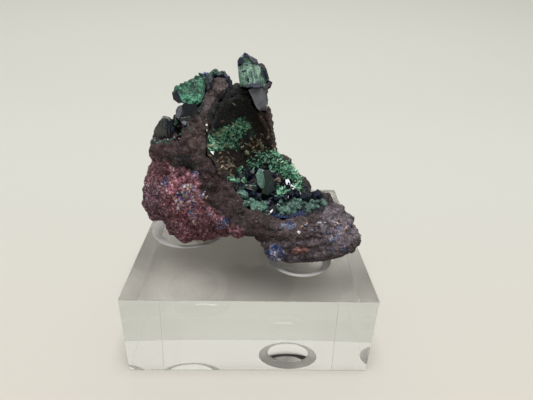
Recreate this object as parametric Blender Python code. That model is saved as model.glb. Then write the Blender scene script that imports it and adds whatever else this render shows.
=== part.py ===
"""An azurite specimen on a clear block: a rock with a crystal-lined hollow, and crystals on its rim."""

import math
import random
from dataclasses import dataclass
from itertools import product

import bmesh
import bpy
from mathutils import Euler, Vector, noise

MM = 0.001

# The block, a stock size of cast acrylic, with one shallow round seat for each of the rock's feet
BLOCK_SIDE = 50.8 * MM
BLOCK_HEIGHT = 19.05 * MM
BLOCK_EDGE = 0.25 * MM
SEAT_SEGMENTS = 30
GAP = 0.3 * MM

# The rock, before its hollow is cut
LUMP_SUBDIVISIONS = 4
CHIPS = 9
CHIP_REACH = (0.80, 1.0)
FUSE_VOXEL = 1.0 * MM
SETTLE_VOXEL = 0.8 * MM
ROCK_FACES = 3700
ROCK_FINAL_FACES = 4800
ROUGH_DEPTH = 0.55 * MM
ROUGH_MIDDLE = 1.2
ROUGH_SCALE = 0.17 / MM
RIDGE_FALL = 0.9
RIDGE_STEP = 2.1
RIDGE_OFFSET = 0.9
RIDGE_GAIN = 2.0
GRAIN_DEPTH = 0.45 * MM
GRAIN_SCALE = 0.55 / MM
GRAIN_FALL = 1.0
GRAIN_STEP = 2.0
NOISE_OCTAVES = 4

# The crust on the hollow's wall
HOLLOW_VOXEL = 1.1 * MM
HOLLOW_FACES = 1700
CRUST_DEPTH = 0.7 * MM
ROOT_DEPTH = 0.4 * MM
CRUST_FINAL_FACES = 3000
CRUST_BUMP = 0.5 * MM
CRUST_BUMP_SCALE = 0.45 / MM
SKIN_GAP = 0.38 * MM

# The crystals
SOCKET_GAP = 0.36 * MM
STUB_CORNERS = 16
FLAT_ANGLE = math.radians(2)


@dataclass(frozen=True)
class Seat:
    """A round hollow in the block's top: its centre, its radius at the top and its depth."""

    x: float
    y: float
    radius: float
    depth: float

    @property
    def sphere(self):
        """The radius of the ball that would grind this seat."""
        return (self.radius**2 + self.depth**2) / (2 * self.depth)


@dataclass(frozen=True)
class Lump:
    """A rounded mass of rock or of space: its centre, half sizes and turn in degrees.

    The higher the value of square, the boxier it is, and 2 is round.
    """

    name: str
    centre: tuple
    half: tuple
    turn: tuple = (0, 0, 0)
    square: float = 2.5


SEATS = {
    "left": Seat(-15.4 * MM, 1.7 * MM, 9.2 * MM, 1.9 * MM),
    "right": Seat(11.0 * MM, -10.4 * MM, 7.2 * MM, 1.6 * MM),
    "rear": Seat(11.0 * MM, 15.5 * MM, 8.2 * MM, 1.8 * MM),
}

# Millimetres from the middle of the block's underside, x to the right, y to the back, z up
ROCK_LUMPS = [
    Lump("left block", (-14.4, 1.6, 32.0), (10.6, 8.6, 10.2), (0, 0, 6), 3.8),
    Lump("left foot", (-14.2, 0.4, 23.4), (7.4, 7.0, 5.4), (0, 0, 10), 3.2),
    Lump("left inner", (-7.4, -2.6, 27.8), (6.6, 5.6, 6.6), (0, 0, 0), 3.2),
    Lump("left shelf", (-15.4, -1.0, 40.4), (6.8, 6.0, 3.4), (0, 8, 0), 3.2),
    Lump("shoulder low", (-16.6, 0.4, 43.0), (5.2, 5.0, 3.6)),
    Lump("shoulder high", (-13.0, 1.4, 47.0), (4.2, 3.9, 4.4), (0, 0, 0), 3.0),
    Lump("ridge crown", (-8.0, 1.4, 52.0), (3.2, 3.4, 4.4), (0, 0, 0), 3.2),
    Lump("crown back", (-9.6, 3.6, 50.4), (3.2, 3.4, 4.4), (0, 0, 0), 3.0),
    Lump("ridge upper", (-10.3, -1.4, 46.6), (3.0, 4.4, 5.6), (0, 14, 0), 3.0),
    Lump("ridge middle", (-11.6, -3.6, 42.0), (4.2, 4.4, 5.6), (0, 0, 0), 3.0),
    Lump("ridge lower", (-9.0, -6.4, 36.6), (4.6, 4.4, 5.0), (0, 0, 0), 3.0),
    Lump("ridge root", (-5.4, -9.2, 32.0), (4.6, 4.4, 4.4), (0, 0, 0), 3.0),
    Lump("bridge", (-0.8, -11.4, 29.2), (4.8, 4.2, 3.0), (0, 0, 0), 3.0),
    Lump("pocket rim", (7.6, -12.2, 27.2), (5.6, 4.2, 3.2), (0, 0, 0), 3.0),
    Lump("pocket rim right", (14.8, -9.0, 28.4), (4.6, 4.6, 3.8), (0, 0, 25), 3.0),
    Lump("pocket knob", (15.4, -5.6, 30.4), (2.8, 2.8, 2.8)),
    Lump("right foot", (12.4, -9.6, 25.2), (9.8, 7.0, 4.8), (0, -3, -4), 3.4),
    Lump("right toe", (10.4, -11.0, 21.4), (6.0, 4.4, 3.4), (0, 0, 0), 3.0),
    Lump("right toe corner", (6.0, -11.8, 23.4), (3.9, 4.2, 4.2), (0, 0, 0), 5.0),
    Lump("right heel", (18.0, -9.0, 26.2), (4.4, 5.0, 4.6), (0, 0, 0), 2.6),
    Lump("right tip", (20.6, -10.0, 24.2), (3.2, 4.2, 3.0), (0, 0, 0), 2.8),
    Lump("pocket floor", (4.8, -3.0, 27.2), (9.2, 8.8, 3.8), (0, 0, 0), 3.0),
    Lump("core", (-1.0, 0.5, 30.5), (9.5, 8.5, 8.0), (0, 0, 0), 3.0),
    Lump("back wall", (-4.0, 9.6, 41.0), (8.0, 4.4, 11.0), (4, 0, 0), 3.6),
    Lump("left wall", (-9.6, 3.6, 44.0), (3.6, 5.6, 8.4), (0, 0, 0), 3.0),
    Lump("hollow back rim", (-2.4, 8.2, 50.2), (4.2, 2.8, 3.4), (0, 0, 0), 3.0),
    Lump("right wall upper", (0.4, 7.4, 45.0), (4.4, 4.4, 6.2), (0, 0, 0), 3.2),
    Lump("right wall middle", (1.8, 7.0, 38.6), (4.0, 4.8, 6.0), (0, 0, 0), 3.0),
    Lump("right wall lower", (5.4, 4.4, 33.0), (4.8, 5.0, 5.2), (0, 0, 0), 3.0),
    Lump("right wall root", (9.0, 0.6, 28.6), (5.2, 5.4, 5.2), (0, 0, 0), 3.0),
    Lump("right wall end", (12.6, -3.2, 26.4), (4.6, 5.2, 4.4), (0, 0, 0), 3.0),
    Lump("rear mass", (-4.6, 9.6, 31.4), (10.6, 7.4, 10.4), (0, 0, 4), 3.0),
    Lump("rear low", (5.0, 10.6, 25.8), (7.6, 6.4, 5.4), (0, 10, 0), 3.0),
    Lump("rear foot", (9.8, 14.4, 22.4), (5.4, 4.8, 4.8), (0, 0, 0), 3.0),
    Lump("left rear", (-12.0, 8.0, 33.0), (9.0, 6.4, 9.4), (0, 0, 0), 3.2),
]

HOLLOW_LUMPS = [
    Lump("top notch", (-1.8, 0.4, 50.0), (5.2, 5.4, 4.6), (0, 0, 0), 2.6),
    Lump("upper hollow", (-3.0, -1.0, 45.6), (6.9, 9.5, 6.2), (0, 0, 0), 2.6),
    Lump("middle hollow", (-2.4, -2.0, 41.8), (7.1, 9.6, 6.2), (0, 0, 0), 2.6),
    Lump("lower hollow", (1.2, -1.5, 37.2), (7.3, 8.6, 6.3), (0, 0, 0), 2.6),
    Lump("pocket", (4.4, -4.2, 34.4), (7.4, 9.7, 5.9), (0, 0, 0), 2.6),
    Lump("pocket end", (10.5, -6.0, 34.4), (6.0, 6.6, 5.0), (0, 0, 0), 2.6),
    Lump("open front", (0.0, -12.0, 44.0), (7.5, 7.0, 8.0), (0, 0, 0), 2.6),
]


@dataclass(frozen=True)
class Crystal:
    """A flat-faced crystal: the corners that its faces are stretched over, in millimetres."""

    name: str
    corners: tuple


@dataclass(frozen=True)
class Stub:
    """A stubby crystal of random facets: its centre and half sizes in millimetres."""

    centre: tuple
    half: tuple


TOWER = [
    Crystal("tower", (
        (-3.9, 3.8, 59.3), (-3.4, 4.2, 60.2), (-2.2, 4.4, 61.1), (0.5, 4.2, 59.6), (0.9, 3.6, 58.0),
        (2.2, 3.6, 53.4), (-3.1, 3.2, 54.4), (0.2, 2.8, 54.0), (-3.7, 3.6, 58.0),
        (-2.8, 8.0, 59.0), (-1.2, 8.2, 59.8), (1.2, 7.6, 58.0), (2.4, 8.8, 52.0), (-3.2, 8.8, 52.2),
    )),
    Crystal("side blade", (
        (0.8, 4.2, 58.7), (2.2, 4.4, 58.0), (3.1, 4.8, 56.0), (3.0, 5.4, 53.6),
        (3.3, 5.8, 49.6), (2.2, 4.0, 50.0), (1.0, 8.2, 57.0), (2.8, 8.4, 50.0),
    )),
    Crystal("side spike", (
        (2.2, 3.6, 55.2), (4.1, 5.2, 54.5), (3.4, 5.6, 53.2),
        (2.4, 3.6, 53.6), (2.4, 7.0, 55.0), (2.4, 7.0, 51.0),
    )),
    Crystal("mirror face", (
        (-1.3, 3.1, 53.4), (0.3, 3.4, 54.1), (2.3, 3.1, 53.7), (3.1, 2.6, 50.6),
        (1.1, 2.2, 49.2), (0.4, 2.4, 50.0), (-0.6, 2.6, 52.2),
        (-1.4, 8.4, 53.2), (2.8, 8.4, 52.5), (3.2, 7.6, 47.6), (0.4, 8.6, 47.6),
    )),
]
WEDGE = [
    Crystal("wedge", (
        (-17.7, 0.0, 52.9), (-16.9, 0.6, 54.0), (-14.4, 0.9, 54.8), (-11.9, 1.4, 56.4),
        (-10.5, 1.6, 56.8), (-10.0, 0.2, 54.8), (-10.3, -0.8, 52.6), (-11.2, -1.5, 51.1),
        (-12.6, -1.9, 50.8), (-15.0, -1.5, 51.2), (-17.0, -0.7, 51.9),
        (-15.6, 3.4, 52.8), (-11.0, 4.2, 55.4), (-10.6, 3.6, 50.4), (-14.0, 3.2, 49.6),
    )),
    Crystal("wedge foot", (
        (-18.0, -0.3, 52.4), (-17.5, -1.2, 51.6), (-15.8, -2.3, 50.5),
        (-15.0, -0.6, 51.6), (-16.9, 2.6, 52.6), (-15.4, 2.6, 50.6),
    )),
]
WEDGE_KNOBS = [
    Stub((-16.4, 0.9, 53.8), (1.2, 1.3, 0.9)),
    Stub((-14.2, 1.1, 54.6), (1.2, 1.3, 1.0)),
    Stub((-12.3, 1.6, 55.7), (1.2, 1.4, 1.1)),
    Stub((-12.4, -1.4, 51.6), (1.7, 0.9, 0.9)),
]
BLADES = [
    Crystal("under plate", (
        (-15.2, -1.6, 50.9), (-11.0, -1.2, 51.0), (-10.9, -2.0, 49.6),
        (-12.2, -2.8, 48.2), (-14.6, -2.6, 48.0),
        (-15.0, 2.0, 50.6), (-11.0, 2.0, 50.6), (-11.4, 1.8, 48.2), (-14.6, 2.0, 48.2),
    )),
    Crystal("main blade", (
        (-15.5, -2.6, 50.6), (-16.9, -1.6, 49.6), (-16.7, -2.4, 47.0), (-15.2, -3.9, 46.5),
        (-13.0, -3.6, 49.0), (-13.4, -4.0, 47.0), (-14.4, -3.4, 50.2),
        (-16.4, 2.0, 49.4), (-13.4, 1.8, 49.4), (-13.4, 1.6, 46.0), (-16.4, 2.0, 46.0),
    )),
    Crystal("lower blade", (
        (-15.7, -3.7, 46.8), (-14.2, -4.2, 47.0), (-13.9, -4.0, 45.2),
        (-14.5, -4.5, 43.6), (-15.9, -4.2, 43.8),
        (-15.8, -0.6, 46.8), (-14.0, -0.6, 46.8), (-14.2, -0.6, 43.6), (-15.8, -0.6, 43.6),
    )),
    Crystal("side blade", (
        (-14.0, -4.3, 46.9), (-12.9, -4.6, 46.4), (-13.1, -4.7, 45.2), (-14.2, -4.5, 45.0),
        (-14.0, -0.8, 46.6), (-12.8, -0.8, 46.4), (-13.0, -0.8, 45.0),
    )),
]
PRISM = [
    Crystal("prism", (
        (-20.0, -2.4, 47.9), (-18.1, -2.7, 48.4), (-16.9, -1.8, 47.5),
        (-17.7, 0.6, 48.1), (-19.5, 0.4, 48.2),
        (-20.9, -2.7, 46.3), (-18.3, -3.7, 46.1), (-16.5, -2.5, 45.7),
        (-16.7, 1.0, 46.2), (-20.5, 1.0, 46.2),
        (-20.3, -3.0, 42.4), (-18.0, -3.5, 42.2), (-16.5, -2.6, 42.2),
        (-16.6, 1.0, 42.4), (-20.1, 0.8, 42.4),
    )),
]
PRISM_BALL = Stub((-20.9, -3.0, 43.2), (1.1, 1.0, 1.1))
CREST = [
    Stub((-9.9, 1.0, 56.2), (1.7, 1.6, 1.5)),
    Stub((-8.2, 1.6, 56.9), (1.6, 1.7, 1.3)),
    Stub((-6.7, 1.8, 56.4), (1.6, 1.6, 1.5)),
    Stub((-5.5, 1.6, 55.2), (1.2, 1.5, 1.6)),
    Stub((-8.9, -0.8, 55.2), (1.4, 1.3, 1.3)),
]
POCKET_CRYSTAL = Crystal("pocket crystal", (
    (3.4, -1.7, 36.6), (2.2, -1.3, 36.4), (5.0, -1.1, 35.8),
    (0.9, -1.7, 34.4), (2.2, -3.3, 34.2), (5.5, -2.5, 34.4), (5.6, 0.4, 34.0), (1.6, 1.2, 34.5),
    (1.4, -1.9, 29.0), (2.6, -3.3, 28.6), (5.2, -2.7, 28.4), (5.2, 0.8, 29.0), (1.6, 1.4, 29.5),
))
POCKET_STUBS = [
    Stub((-0.6, -4.4, 32.2), (1.7, 1.5, 1.9)),
    Stub((0.6, -5.6, 31.0), (1.4, 1.4, 1.7)),
    Stub((-0.4, -1.4, 33.4), (1.5, 1.5, 2.0)),
    Stub((7.4, -3.2, 31.6), (1.4, 1.3, 1.7)),
    Stub((6.2, -5.0, 30.8), (1.3, 1.3, 1.6)),
    Stub((8.9, -1.6, 31.8), (1.5, 1.3, 1.5)),
    Stub((4.4, -6.0, 30.4), (1.2, 1.2, 1.5)),
    Stub((-2.4, -6.6, 32.0), (1.6, 1.5, 1.5)),
    Stub((1.6, -8.6, 30.4), (1.6, 1.5, 1.3)),
    Stub((-0.6, -8.6, 31.2), (1.4, 1.4, 1.4)),
    Stub((4.6, -9.2, 29.8), (1.6, 1.4, 1.3)),
    Stub((7.6, -8.0, 29.8), (1.8, 1.5, 1.3)),
    Stub((10.4, -6.2, 30.0), (1.6, 1.5, 1.3)),
    Stub((12.6, -3.8, 30.6), (1.5, 1.4, 1.5)),
    Stub((8.6, 1.6, 34.2), (1.3, 1.5, 1.9)),
    Stub((6.6, 3.2, 36.4), (1.2, 1.4, 1.7)),
]


def clear_scene():
    """Removes what the scene holds."""
    for old in list(bpy.data.objects):
        bpy.data.objects.remove(old)


def finish_material(name, colour, roughness, transmission=0.0, ior=1.49):
    """A plain finish of that colour."""
    material = bpy.data.materials.new(name)
    material.use_nodes = True
    shader = material.node_tree.nodes["Principled BSDF"]
    shader.inputs["Base Color"].default_value = (*colour, 1.0)
    shader.inputs["Roughness"].default_value = roughness
    shader.inputs["Metallic"].default_value = 0.0
    shader.inputs["Transmission Weight"].default_value = transmission
    shader.inputs["IOR"].default_value = ior
    return material


def add_object(name, mesh, material=None, is_cutter=False):
    """Puts a mesh in the scene under that name."""
    piece = bpy.data.objects.new(name, mesh)
    bpy.context.scene.collection.objects.link(piece)
    if material:
        mesh.materials.append(material)
    if is_cutter:
        piece.hide_render = True
        piece.display_type = "WIRE"
    return piece


def mesh_from(bm, name):
    """Closes a bmesh into a mesh of that name."""
    bmesh.ops.recalc_face_normals(bm, faces=bm.faces)
    mesh = bpy.data.meshes.new(name)
    bm.to_mesh(mesh)
    bm.free()
    return mesh


def bake_modifiers(piece):
    """Turns the piece's modifiers into its own mesh."""
    bpy.context.view_layer.update()
    graph = bpy.context.evaluated_depsgraph_get()
    mesh = bpy.data.meshes.new_from_object(piece.evaluated_get(graph))
    piece.modifiers.clear()
    piece.data = mesh
    return piece


def cut(piece, cutter, operation="DIFFERENCE"):
    """Cuts a piece with another, and keeps the result as its mesh."""
    boolean = piece.modifiers.new(cutter.name, "BOOLEAN")
    boolean.operation = operation
    boolean.solver = "EXACT"
    boolean.object = cutter
    return bake_modifiers(piece)


def chip_planes(lump):
    """The planes that broke the lump's corners off: a direction and how far out each lies, of 1."""
    draw = random.Random(lump.name)
    planes = []
    for _ in range(CHIPS):
        way = Vector([draw.uniform(-1, 1) for _ in range(3)]).normalized()
        planes.append((way, draw.uniform(*CHIP_REACH)))
    return planes


def lump_mesh(lump):
    """A ball pressed into the lump's form and chipped flat in places, where it belongs."""
    bm = bmesh.new()
    bmesh.ops.create_icosphere(bm, subdivisions=LUMP_SUBDIVISIONS, radius=1.0)
    turn = Euler([math.radians(a) for a in lump.turn]).to_matrix()
    centre = Vector(lump.centre) * MM
    planes = chip_planes(lump)
    for vert in bm.verts:
        way = vert.co.normalized()
        form = way * sum(abs(c) ** lump.square for c in way) ** (-1.0 / lump.square)
        for normal, reach in planes:
            past = form.dot(normal) - reach
            if past > 0:
                form -= normal * past
        local = Vector([c * h * MM for c, h in zip(form, lump.half)])
        vert.co = centre + turn @ local
    return mesh_from(bm, lump.name)


def join_meshes(meshes, name):
    """One mesh of several, each still a body of its own."""
    bm = bmesh.new()
    for mesh in meshes:
        bm.from_mesh(mesh)
    return mesh_from(bm, name)


def voxel_fuse(piece, size):
    """Fuses overlapping bodies into one skin of even faces."""
    remesh = piece.modifiers.new("fuse", "REMESH")
    remesh.mode = "VOXEL"
    remesh.voxel_size = size
    return bake_modifiers(piece)


def roughen(mesh):
    """Pushes the skin in and out along its normals, in broad ridges and a finer grain."""
    bm = bmesh.new()
    bm.from_mesh(mesh)
    bm.normal_update()
    moves = []
    for vert in bm.verts:
        spot = vert.co * ROUGH_SCALE
        ridges = noise.ridged_multi_fractal(
            spot, RIDGE_FALL, RIDGE_STEP, NOISE_OCTAVES, RIDGE_OFFSET, RIDGE_GAIN,
        )
        grain = noise.fractal(vert.co * GRAIN_SCALE, GRAIN_FALL, GRAIN_STEP, NOISE_OCTAVES)
        depth = (ridges - ROUGH_MIDDLE) * ROUGH_DEPTH + grain * GRAIN_DEPTH
        moves.append(vert.normal * depth)
    for vert, move in zip(bm.verts, moves):
        vert.co += move
    bm.to_mesh(mesh)
    bm.free()


def offset_skin(mesh, distance, bump=0.0):
    """A copy of the mesh with its skin moved out by that distance, and in by round bumps up to bump."""
    bm = bmesh.new()
    bm.from_mesh(mesh)
    bm.normal_update()
    moves = []
    for vert in bm.verts:
        near = noise.voronoi(vert.co * CRUST_BUMP_SCALE)[0][0]
        moves.append(vert.normal * (distance - bump * max(0.0, 1.0 - near)))
    for vert, move in zip(bm.verts, moves):
        vert.co += move
    return mesh_from(bm, mesh.name)


def thin_faces(piece, faces):
    """Brings the piece down to about that many triangles."""
    count = sum(len(p.vertices) - 2 for p in piece.data.polygons)
    decimate = piece.modifiers.new("thin", "DECIMATE")
    decimate.ratio = min(1.0, faces / count)
    decimate.use_collapse_triangulate = True
    return bake_modifiers(piece)


def seat_ball(seat, shrink=0.0):
    """The ball that grinds a seat, as a cutter."""
    bm = bmesh.new()
    radius = seat.sphere - shrink
    bmesh.ops.create_uvsphere(bm, u_segments=SEAT_SEGMENTS, v_segments=SEAT_SEGMENTS, radius=radius)
    height = BLOCK_HEIGHT - seat.depth + seat.sphere
    bmesh.ops.translate(bm, vec=(seat.x, seat.y, height), verts=bm.verts)
    return mesh_from(bm, "seat ball")


def block_box(name, grow=0.0):
    """The block before its seats are ground, standing on z 0."""
    bm = bmesh.new()
    bmesh.ops.create_cube(bm, size=1.0)
    side = BLOCK_SIDE + 2 * grow
    bmesh.ops.scale(bm, vec=(side, side, BLOCK_HEIGHT + grow), verts=bm.verts)
    bmesh.ops.translate(bm, vec=(0, 0, (BLOCK_HEIGHT + grow) / 2), verts=bm.verts)
    return mesh_from(bm, name)


def grind_seats(piece, shrink=0.0):
    """Cuts the three seats into the block's top."""
    for name, seat in SEATS.items():
        ball = add_object("seat cutter " + name, seat_ball(seat, shrink), is_cutter=True)
        cut(piece, ball)
        bpy.data.objects.remove(ball)
    return piece


def build_block():
    """The clear block, its edges eased and its seats ground."""
    clear = finish_material("clear acrylic", (0.98, 0.99, 0.98), 0.02, transmission=1.0)
    block = add_object("acrylic_block", block_box("acrylic_block"), clear)
    bevel = block.modifiers.new("eased edges", "BEVEL")
    bevel.width = BLOCK_EDGE
    bevel.segments = 1
    bake_modifiers(block)
    return grind_seats(block)


def crystal_mesh(crystal, grow=0.0):
    """The crystal's faces stretched over its corners; grow moves every face out, in metres."""
    bm = bmesh.new()
    for corner in crystal.corners:
        for way in product((-1, 0, 1), repeat=3) if grow else [(0, 0, 0)]:
            bm.verts.new(Vector(corner) * MM + Vector(way).normalized() * grow)
    bmesh.ops.convex_hull(bm, input=bm.verts)
    loose = [v for v in bm.verts if not v.link_faces]
    bmesh.ops.delete(bm, geom=loose, context="VERTS")
    bmesh.ops.dissolve_limit(bm, angle_limit=FLAT_ANGLE, verts=bm.verts, edges=bm.edges)
    bmesh.ops.triangulate(bm, faces=bm.faces)
    return mesh_from(bm, crystal.name)


def stub_crystal(stub):
    """The corners of a stubby crystal, drawn at random but the same each time."""
    draw = random.Random(str(stub.centre))
    corners = []
    for _ in range(STUB_CORNERS):
        way = Vector([draw.gauss(0, 1) for _ in range(3)]).normalized()
        corners.append(tuple(c + h * w for c, h, w in zip(stub.centre, stub.half, way)))
    return Crystal("stub", tuple(corners))


def fused_crystals(name, crystals, material=None):
    """Crystals that grew into each other, as one solid."""
    first, *others = crystals
    body = add_object(name, crystal_mesh(first), material)
    for crystal in others:
        other = add_object("cutter " + name, crystal_mesh(crystal), is_cutter=True)
        cut(body, other, "UNION")
        bpy.data.objects.remove(other)
    return body


def keep_largest(piece):
    """Drops the crumbs that a cut left, and keeps the largest body."""
    bm = bmesh.new()
    bm.from_mesh(piece.data)
    left = set(bm.verts)
    islands = []
    while left:
        island, edge = set(), [left.pop()]
        while edge:
            vert = edge.pop()
            island.add(vert)
            for link in vert.link_edges:
                other = link.other_vert(vert)
                if other in left:
                    left.discard(other)
                    edge.append(other)
        islands.append(island)
    islands.sort(key=len, reverse=True)
    crumbs = [vert for island in islands[1:] for vert in island]
    bmesh.ops.delete(bm, geom=crumbs, context="VERTS")
    bm.to_mesh(piece.data)
    bm.free()
    return piece


def take_away(piece, mesh, operation="DIFFERENCE"):
    """Cuts a piece with a mesh, then drops the mesh's object."""
    cutter = add_object("cutter " + mesh.name, mesh, is_cutter=True)
    cut(piece, cutter, operation)
    bpy.data.objects.remove(cutter)
    return piece


def rough_body(name, lumps, material, faces):
    """Lumps fused into one solid, roughened, and brought down to about that many triangles."""
    body = add_object(name, join_meshes([lump_mesh(lump) for lump in lumps], name), material)
    voxel_fuse(body, FUSE_VOXEL)
    roughen(body.data)
    voxel_fuse(body, SETTLE_VOXEL)
    return thin_faces(body, faces)


def hollow_skin():
    """The skin of the hollow's space, which the rock's cut and the crust's two sides are all made from."""
    lumps = [lump_mesh(lump) for lump in HOLLOW_LUMPS]
    space = add_object("hollow", join_meshes(lumps, "hollow"), is_cutter=True)
    voxel_fuse(space, HOLLOW_VOXEL)
    thin_faces(space, HOLLOW_FACES)
    mesh = space.data
    bpy.data.objects.remove(space)
    return mesh


def build_crust(rock, skin):
    """The crust that lines the hollow, with the pocket's crystals grown out of it."""
    green = finish_material("green crust", (0.03, 0.10, 0.07), 0.5)
    crust = add_object("vug_crust", offset_skin(skin, CRUST_DEPTH), green)
    take_away(crust, offset_skin(skin, 0.0, CRUST_BUMP))
    take_away(crust, rock.data.copy(), "INTERSECT")
    grown = fused_crystals("pocket crystals", [POCKET_CRYSTAL] + [stub_crystal(s) for s in POCKET_STUBS])
    take_away(grown, offset_skin(skin, ROOT_DEPTH), "INTERSECT")
    take_away(crust, grown.data, "UNION")
    bpy.data.objects.remove(grown)
    return thin_faces(keep_largest(crust), CRUST_FINAL_FACES)


def build_rim_crystals():
    """The crystals that stand on the rim, each group one solid."""
    malachite = finish_material("malachite coat", (0.05, 0.30, 0.17), 0.45)
    azurite = finish_material("dark azurite", (0.012, 0.018, 0.06), 0.15)
    groups = [
        ("tower_crystal", TOWER, malachite),
        ("malachite_wedge", WEDGE + [stub_crystal(s) for s in WEDGE_KNOBS], malachite),
        ("crest_crystals", [stub_crystal(s) for s in CREST], malachite),
        ("azurite_blades", BLADES, azurite),
        ("dark_prism", PRISM + [stub_crystal(PRISM_BALL)], azurite),
    ]
    return [(fused_crystals(name, crystals, material), crystals) for name, crystals, material in groups]


def build_rock_and_crystals():
    """The rock, its crust and its crystals, each cut clear of its neighbours."""
    brown = finish_material("iron stained rock", (0.11, 0.055, 0.045), 0.9)
    rock = rough_body("matrix_rock", ROCK_LUMPS, brown, ROCK_FACES)
    skin = hollow_skin()
    crust = build_crust(rock, skin)
    take_away(rock, offset_skin(skin, CRUST_DEPTH + SKIN_GAP))
    groups = build_rim_crystals()
    for number, (body, crystals) in enumerate(groups):
        for crystal in crystals:
            grown = crystal_mesh(crystal, SOCKET_GAP)
            take_away(rock, grown)
            take_away(crust, grown)
            for other, _ in groups[number + 1:]:
                take_away(other, grown)
    seat_form = grind_seats(add_object("seat form", block_box("seat form", GAP), is_cutter=True), GAP)
    cut(rock, seat_form)
    bpy.data.objects.remove(seat_form)
    thin_faces(rock, ROCK_FINAL_FACES)
    for piece in [rock, crust] + [body for body, _ in groups]:
        keep_largest(piece)


def main():
    """Builds every piece in place."""
    clear_scene()
    build_block()
    build_rock_and_crystals()


main()
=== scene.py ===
"""The azurite specimen, dressed: the rock, its lined hollow, the rim's crystals and the clear block."""

import enum
import logging
import math
import random
from dataclasses import dataclass
from typing import Any, Callable, Iterable, Optional, Sequence, Union

import bpy
import numpy as np
from mathutils import Matrix, Vector, noise
from mathutils.bvhtree import BVHTree


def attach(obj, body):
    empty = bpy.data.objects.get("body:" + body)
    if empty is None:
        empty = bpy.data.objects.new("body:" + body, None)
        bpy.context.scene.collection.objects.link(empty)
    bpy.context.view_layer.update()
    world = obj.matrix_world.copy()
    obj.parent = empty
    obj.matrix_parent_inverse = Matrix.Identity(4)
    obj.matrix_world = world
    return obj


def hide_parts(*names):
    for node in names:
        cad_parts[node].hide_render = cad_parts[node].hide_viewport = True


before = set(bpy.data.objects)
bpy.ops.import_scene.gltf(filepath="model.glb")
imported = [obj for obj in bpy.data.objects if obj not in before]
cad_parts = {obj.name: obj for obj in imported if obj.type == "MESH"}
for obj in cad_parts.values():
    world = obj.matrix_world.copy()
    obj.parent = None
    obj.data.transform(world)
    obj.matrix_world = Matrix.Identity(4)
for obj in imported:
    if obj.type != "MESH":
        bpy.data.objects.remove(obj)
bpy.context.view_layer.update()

MM = 0.001
WELD = 1e-6
FINE = 0.14
SIDES = 6
DISC_CORNERS = 12
LOG = logging.getLogger("specimen")
Colour = tuple[float, float, float]
Pixel = tuple[float, float]
Point = tuple[float, float, float]


# The photograph's view, used for the camera and for laying the mineral zones out

@dataclass(frozen=True)
class View:
    """The camera's place and lens, and the way from a point of the object to the picture and back.

    Attributes:
        location: Where it stands, in millimetres.
        yaw: How far it is turned to the right, in degrees.
        pitch: How far it looks down, in degrees.
        roll: How far it is tipped, in degrees.
        focal: Its focal length, in pixels.
        width: The picture's width, in pixels.
        height: The picture's height, in pixels.
        sensor: The sensor's width, in millimetres.
    """

    location: Point = (-0.402, -86.554, 72.381)
    yaw: float = 2.562
    pitch: float = 27.046
    roll: float = 2.256
    focal: float = 406.03
    width: int = 533
    height: int = 400
    sensor: float = 36.0

    def axes(self) -> tuple[Vector, Vector, Vector]:
        """The camera's right, up and forward directions.

        Returns:
            Three unit vectors.
        """
        yaw, pitch, roll = (math.radians(a) for a in (self.yaw, self.pitch, self.roll))
        ahead = Vector((math.sin(yaw) * math.cos(pitch), math.cos(yaw) * math.cos(pitch), -math.sin(pitch)))
        level = Vector((math.cos(yaw), -math.sin(yaw), 0))
        rise = level.cross(ahead)
        right = level * math.cos(roll) + rise * math.sin(roll)
        up = rise * math.cos(roll) - level * math.sin(roll)
        return right, up, ahead

    def pixels(self, points: np.ndarray) -> np.ndarray:
        """Where points fall in the picture.

        Args:
            points: Rows of x, y, z in metres.

        Returns:
            Rows of pixel columns and rows.
        """
        away = points / MM - np.array(self.location)
        right, up, ahead = (away @ np.array(a) for a in self.axes())
        across = self.width / 2 + self.focal * right / ahead
        down = self.height / 2 - self.focal * up / ahead
        return np.stack([across, down], axis=1)

    def ray(self, pixel: Pixel) -> Vector:
        """The direction that a pixel looks along."""
        right, up, ahead = self.axes()
        across = (pixel[0] - self.width / 2) / self.focal
        down = (pixel[1] - self.height / 2) / self.focal
        return (ahead + right * across - up * down).normalized()

    def at_depth(self, pixel: Pixel, depth: float) -> Vector:
        """The point in millimetres that a pixel shows where y is the depth given.

        Args:
            pixel: Column and row.
            depth: The y of the point, in millimetres.

        Returns:
            The point.
        """
        way = self.ray(pixel)
        return Vector(self.location) + way * ((depth - self.location[1]) / way.y)

    def set_camera(self) -> bpy.types.Object:
        """Makes the scene's camera."""
        lens = bpy.data.cameras.new("camera")
        lens.sensor_width = self.sensor
        lens.lens = self.focal * self.sensor / self.width
        lens.clip_start = MM
        camera = bpy.data.objects.new("camera", lens)
        bpy.context.scene.collection.objects.link(camera)
        right, up, ahead = self.axes()
        place = Matrix((right, up, -ahead)).transposed().to_4x4()
        place.translation = Vector(self.location) * MM
        camera.matrix_world = place
        bpy.context.scene.camera = camera
        return camera


VIEW = View()


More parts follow.
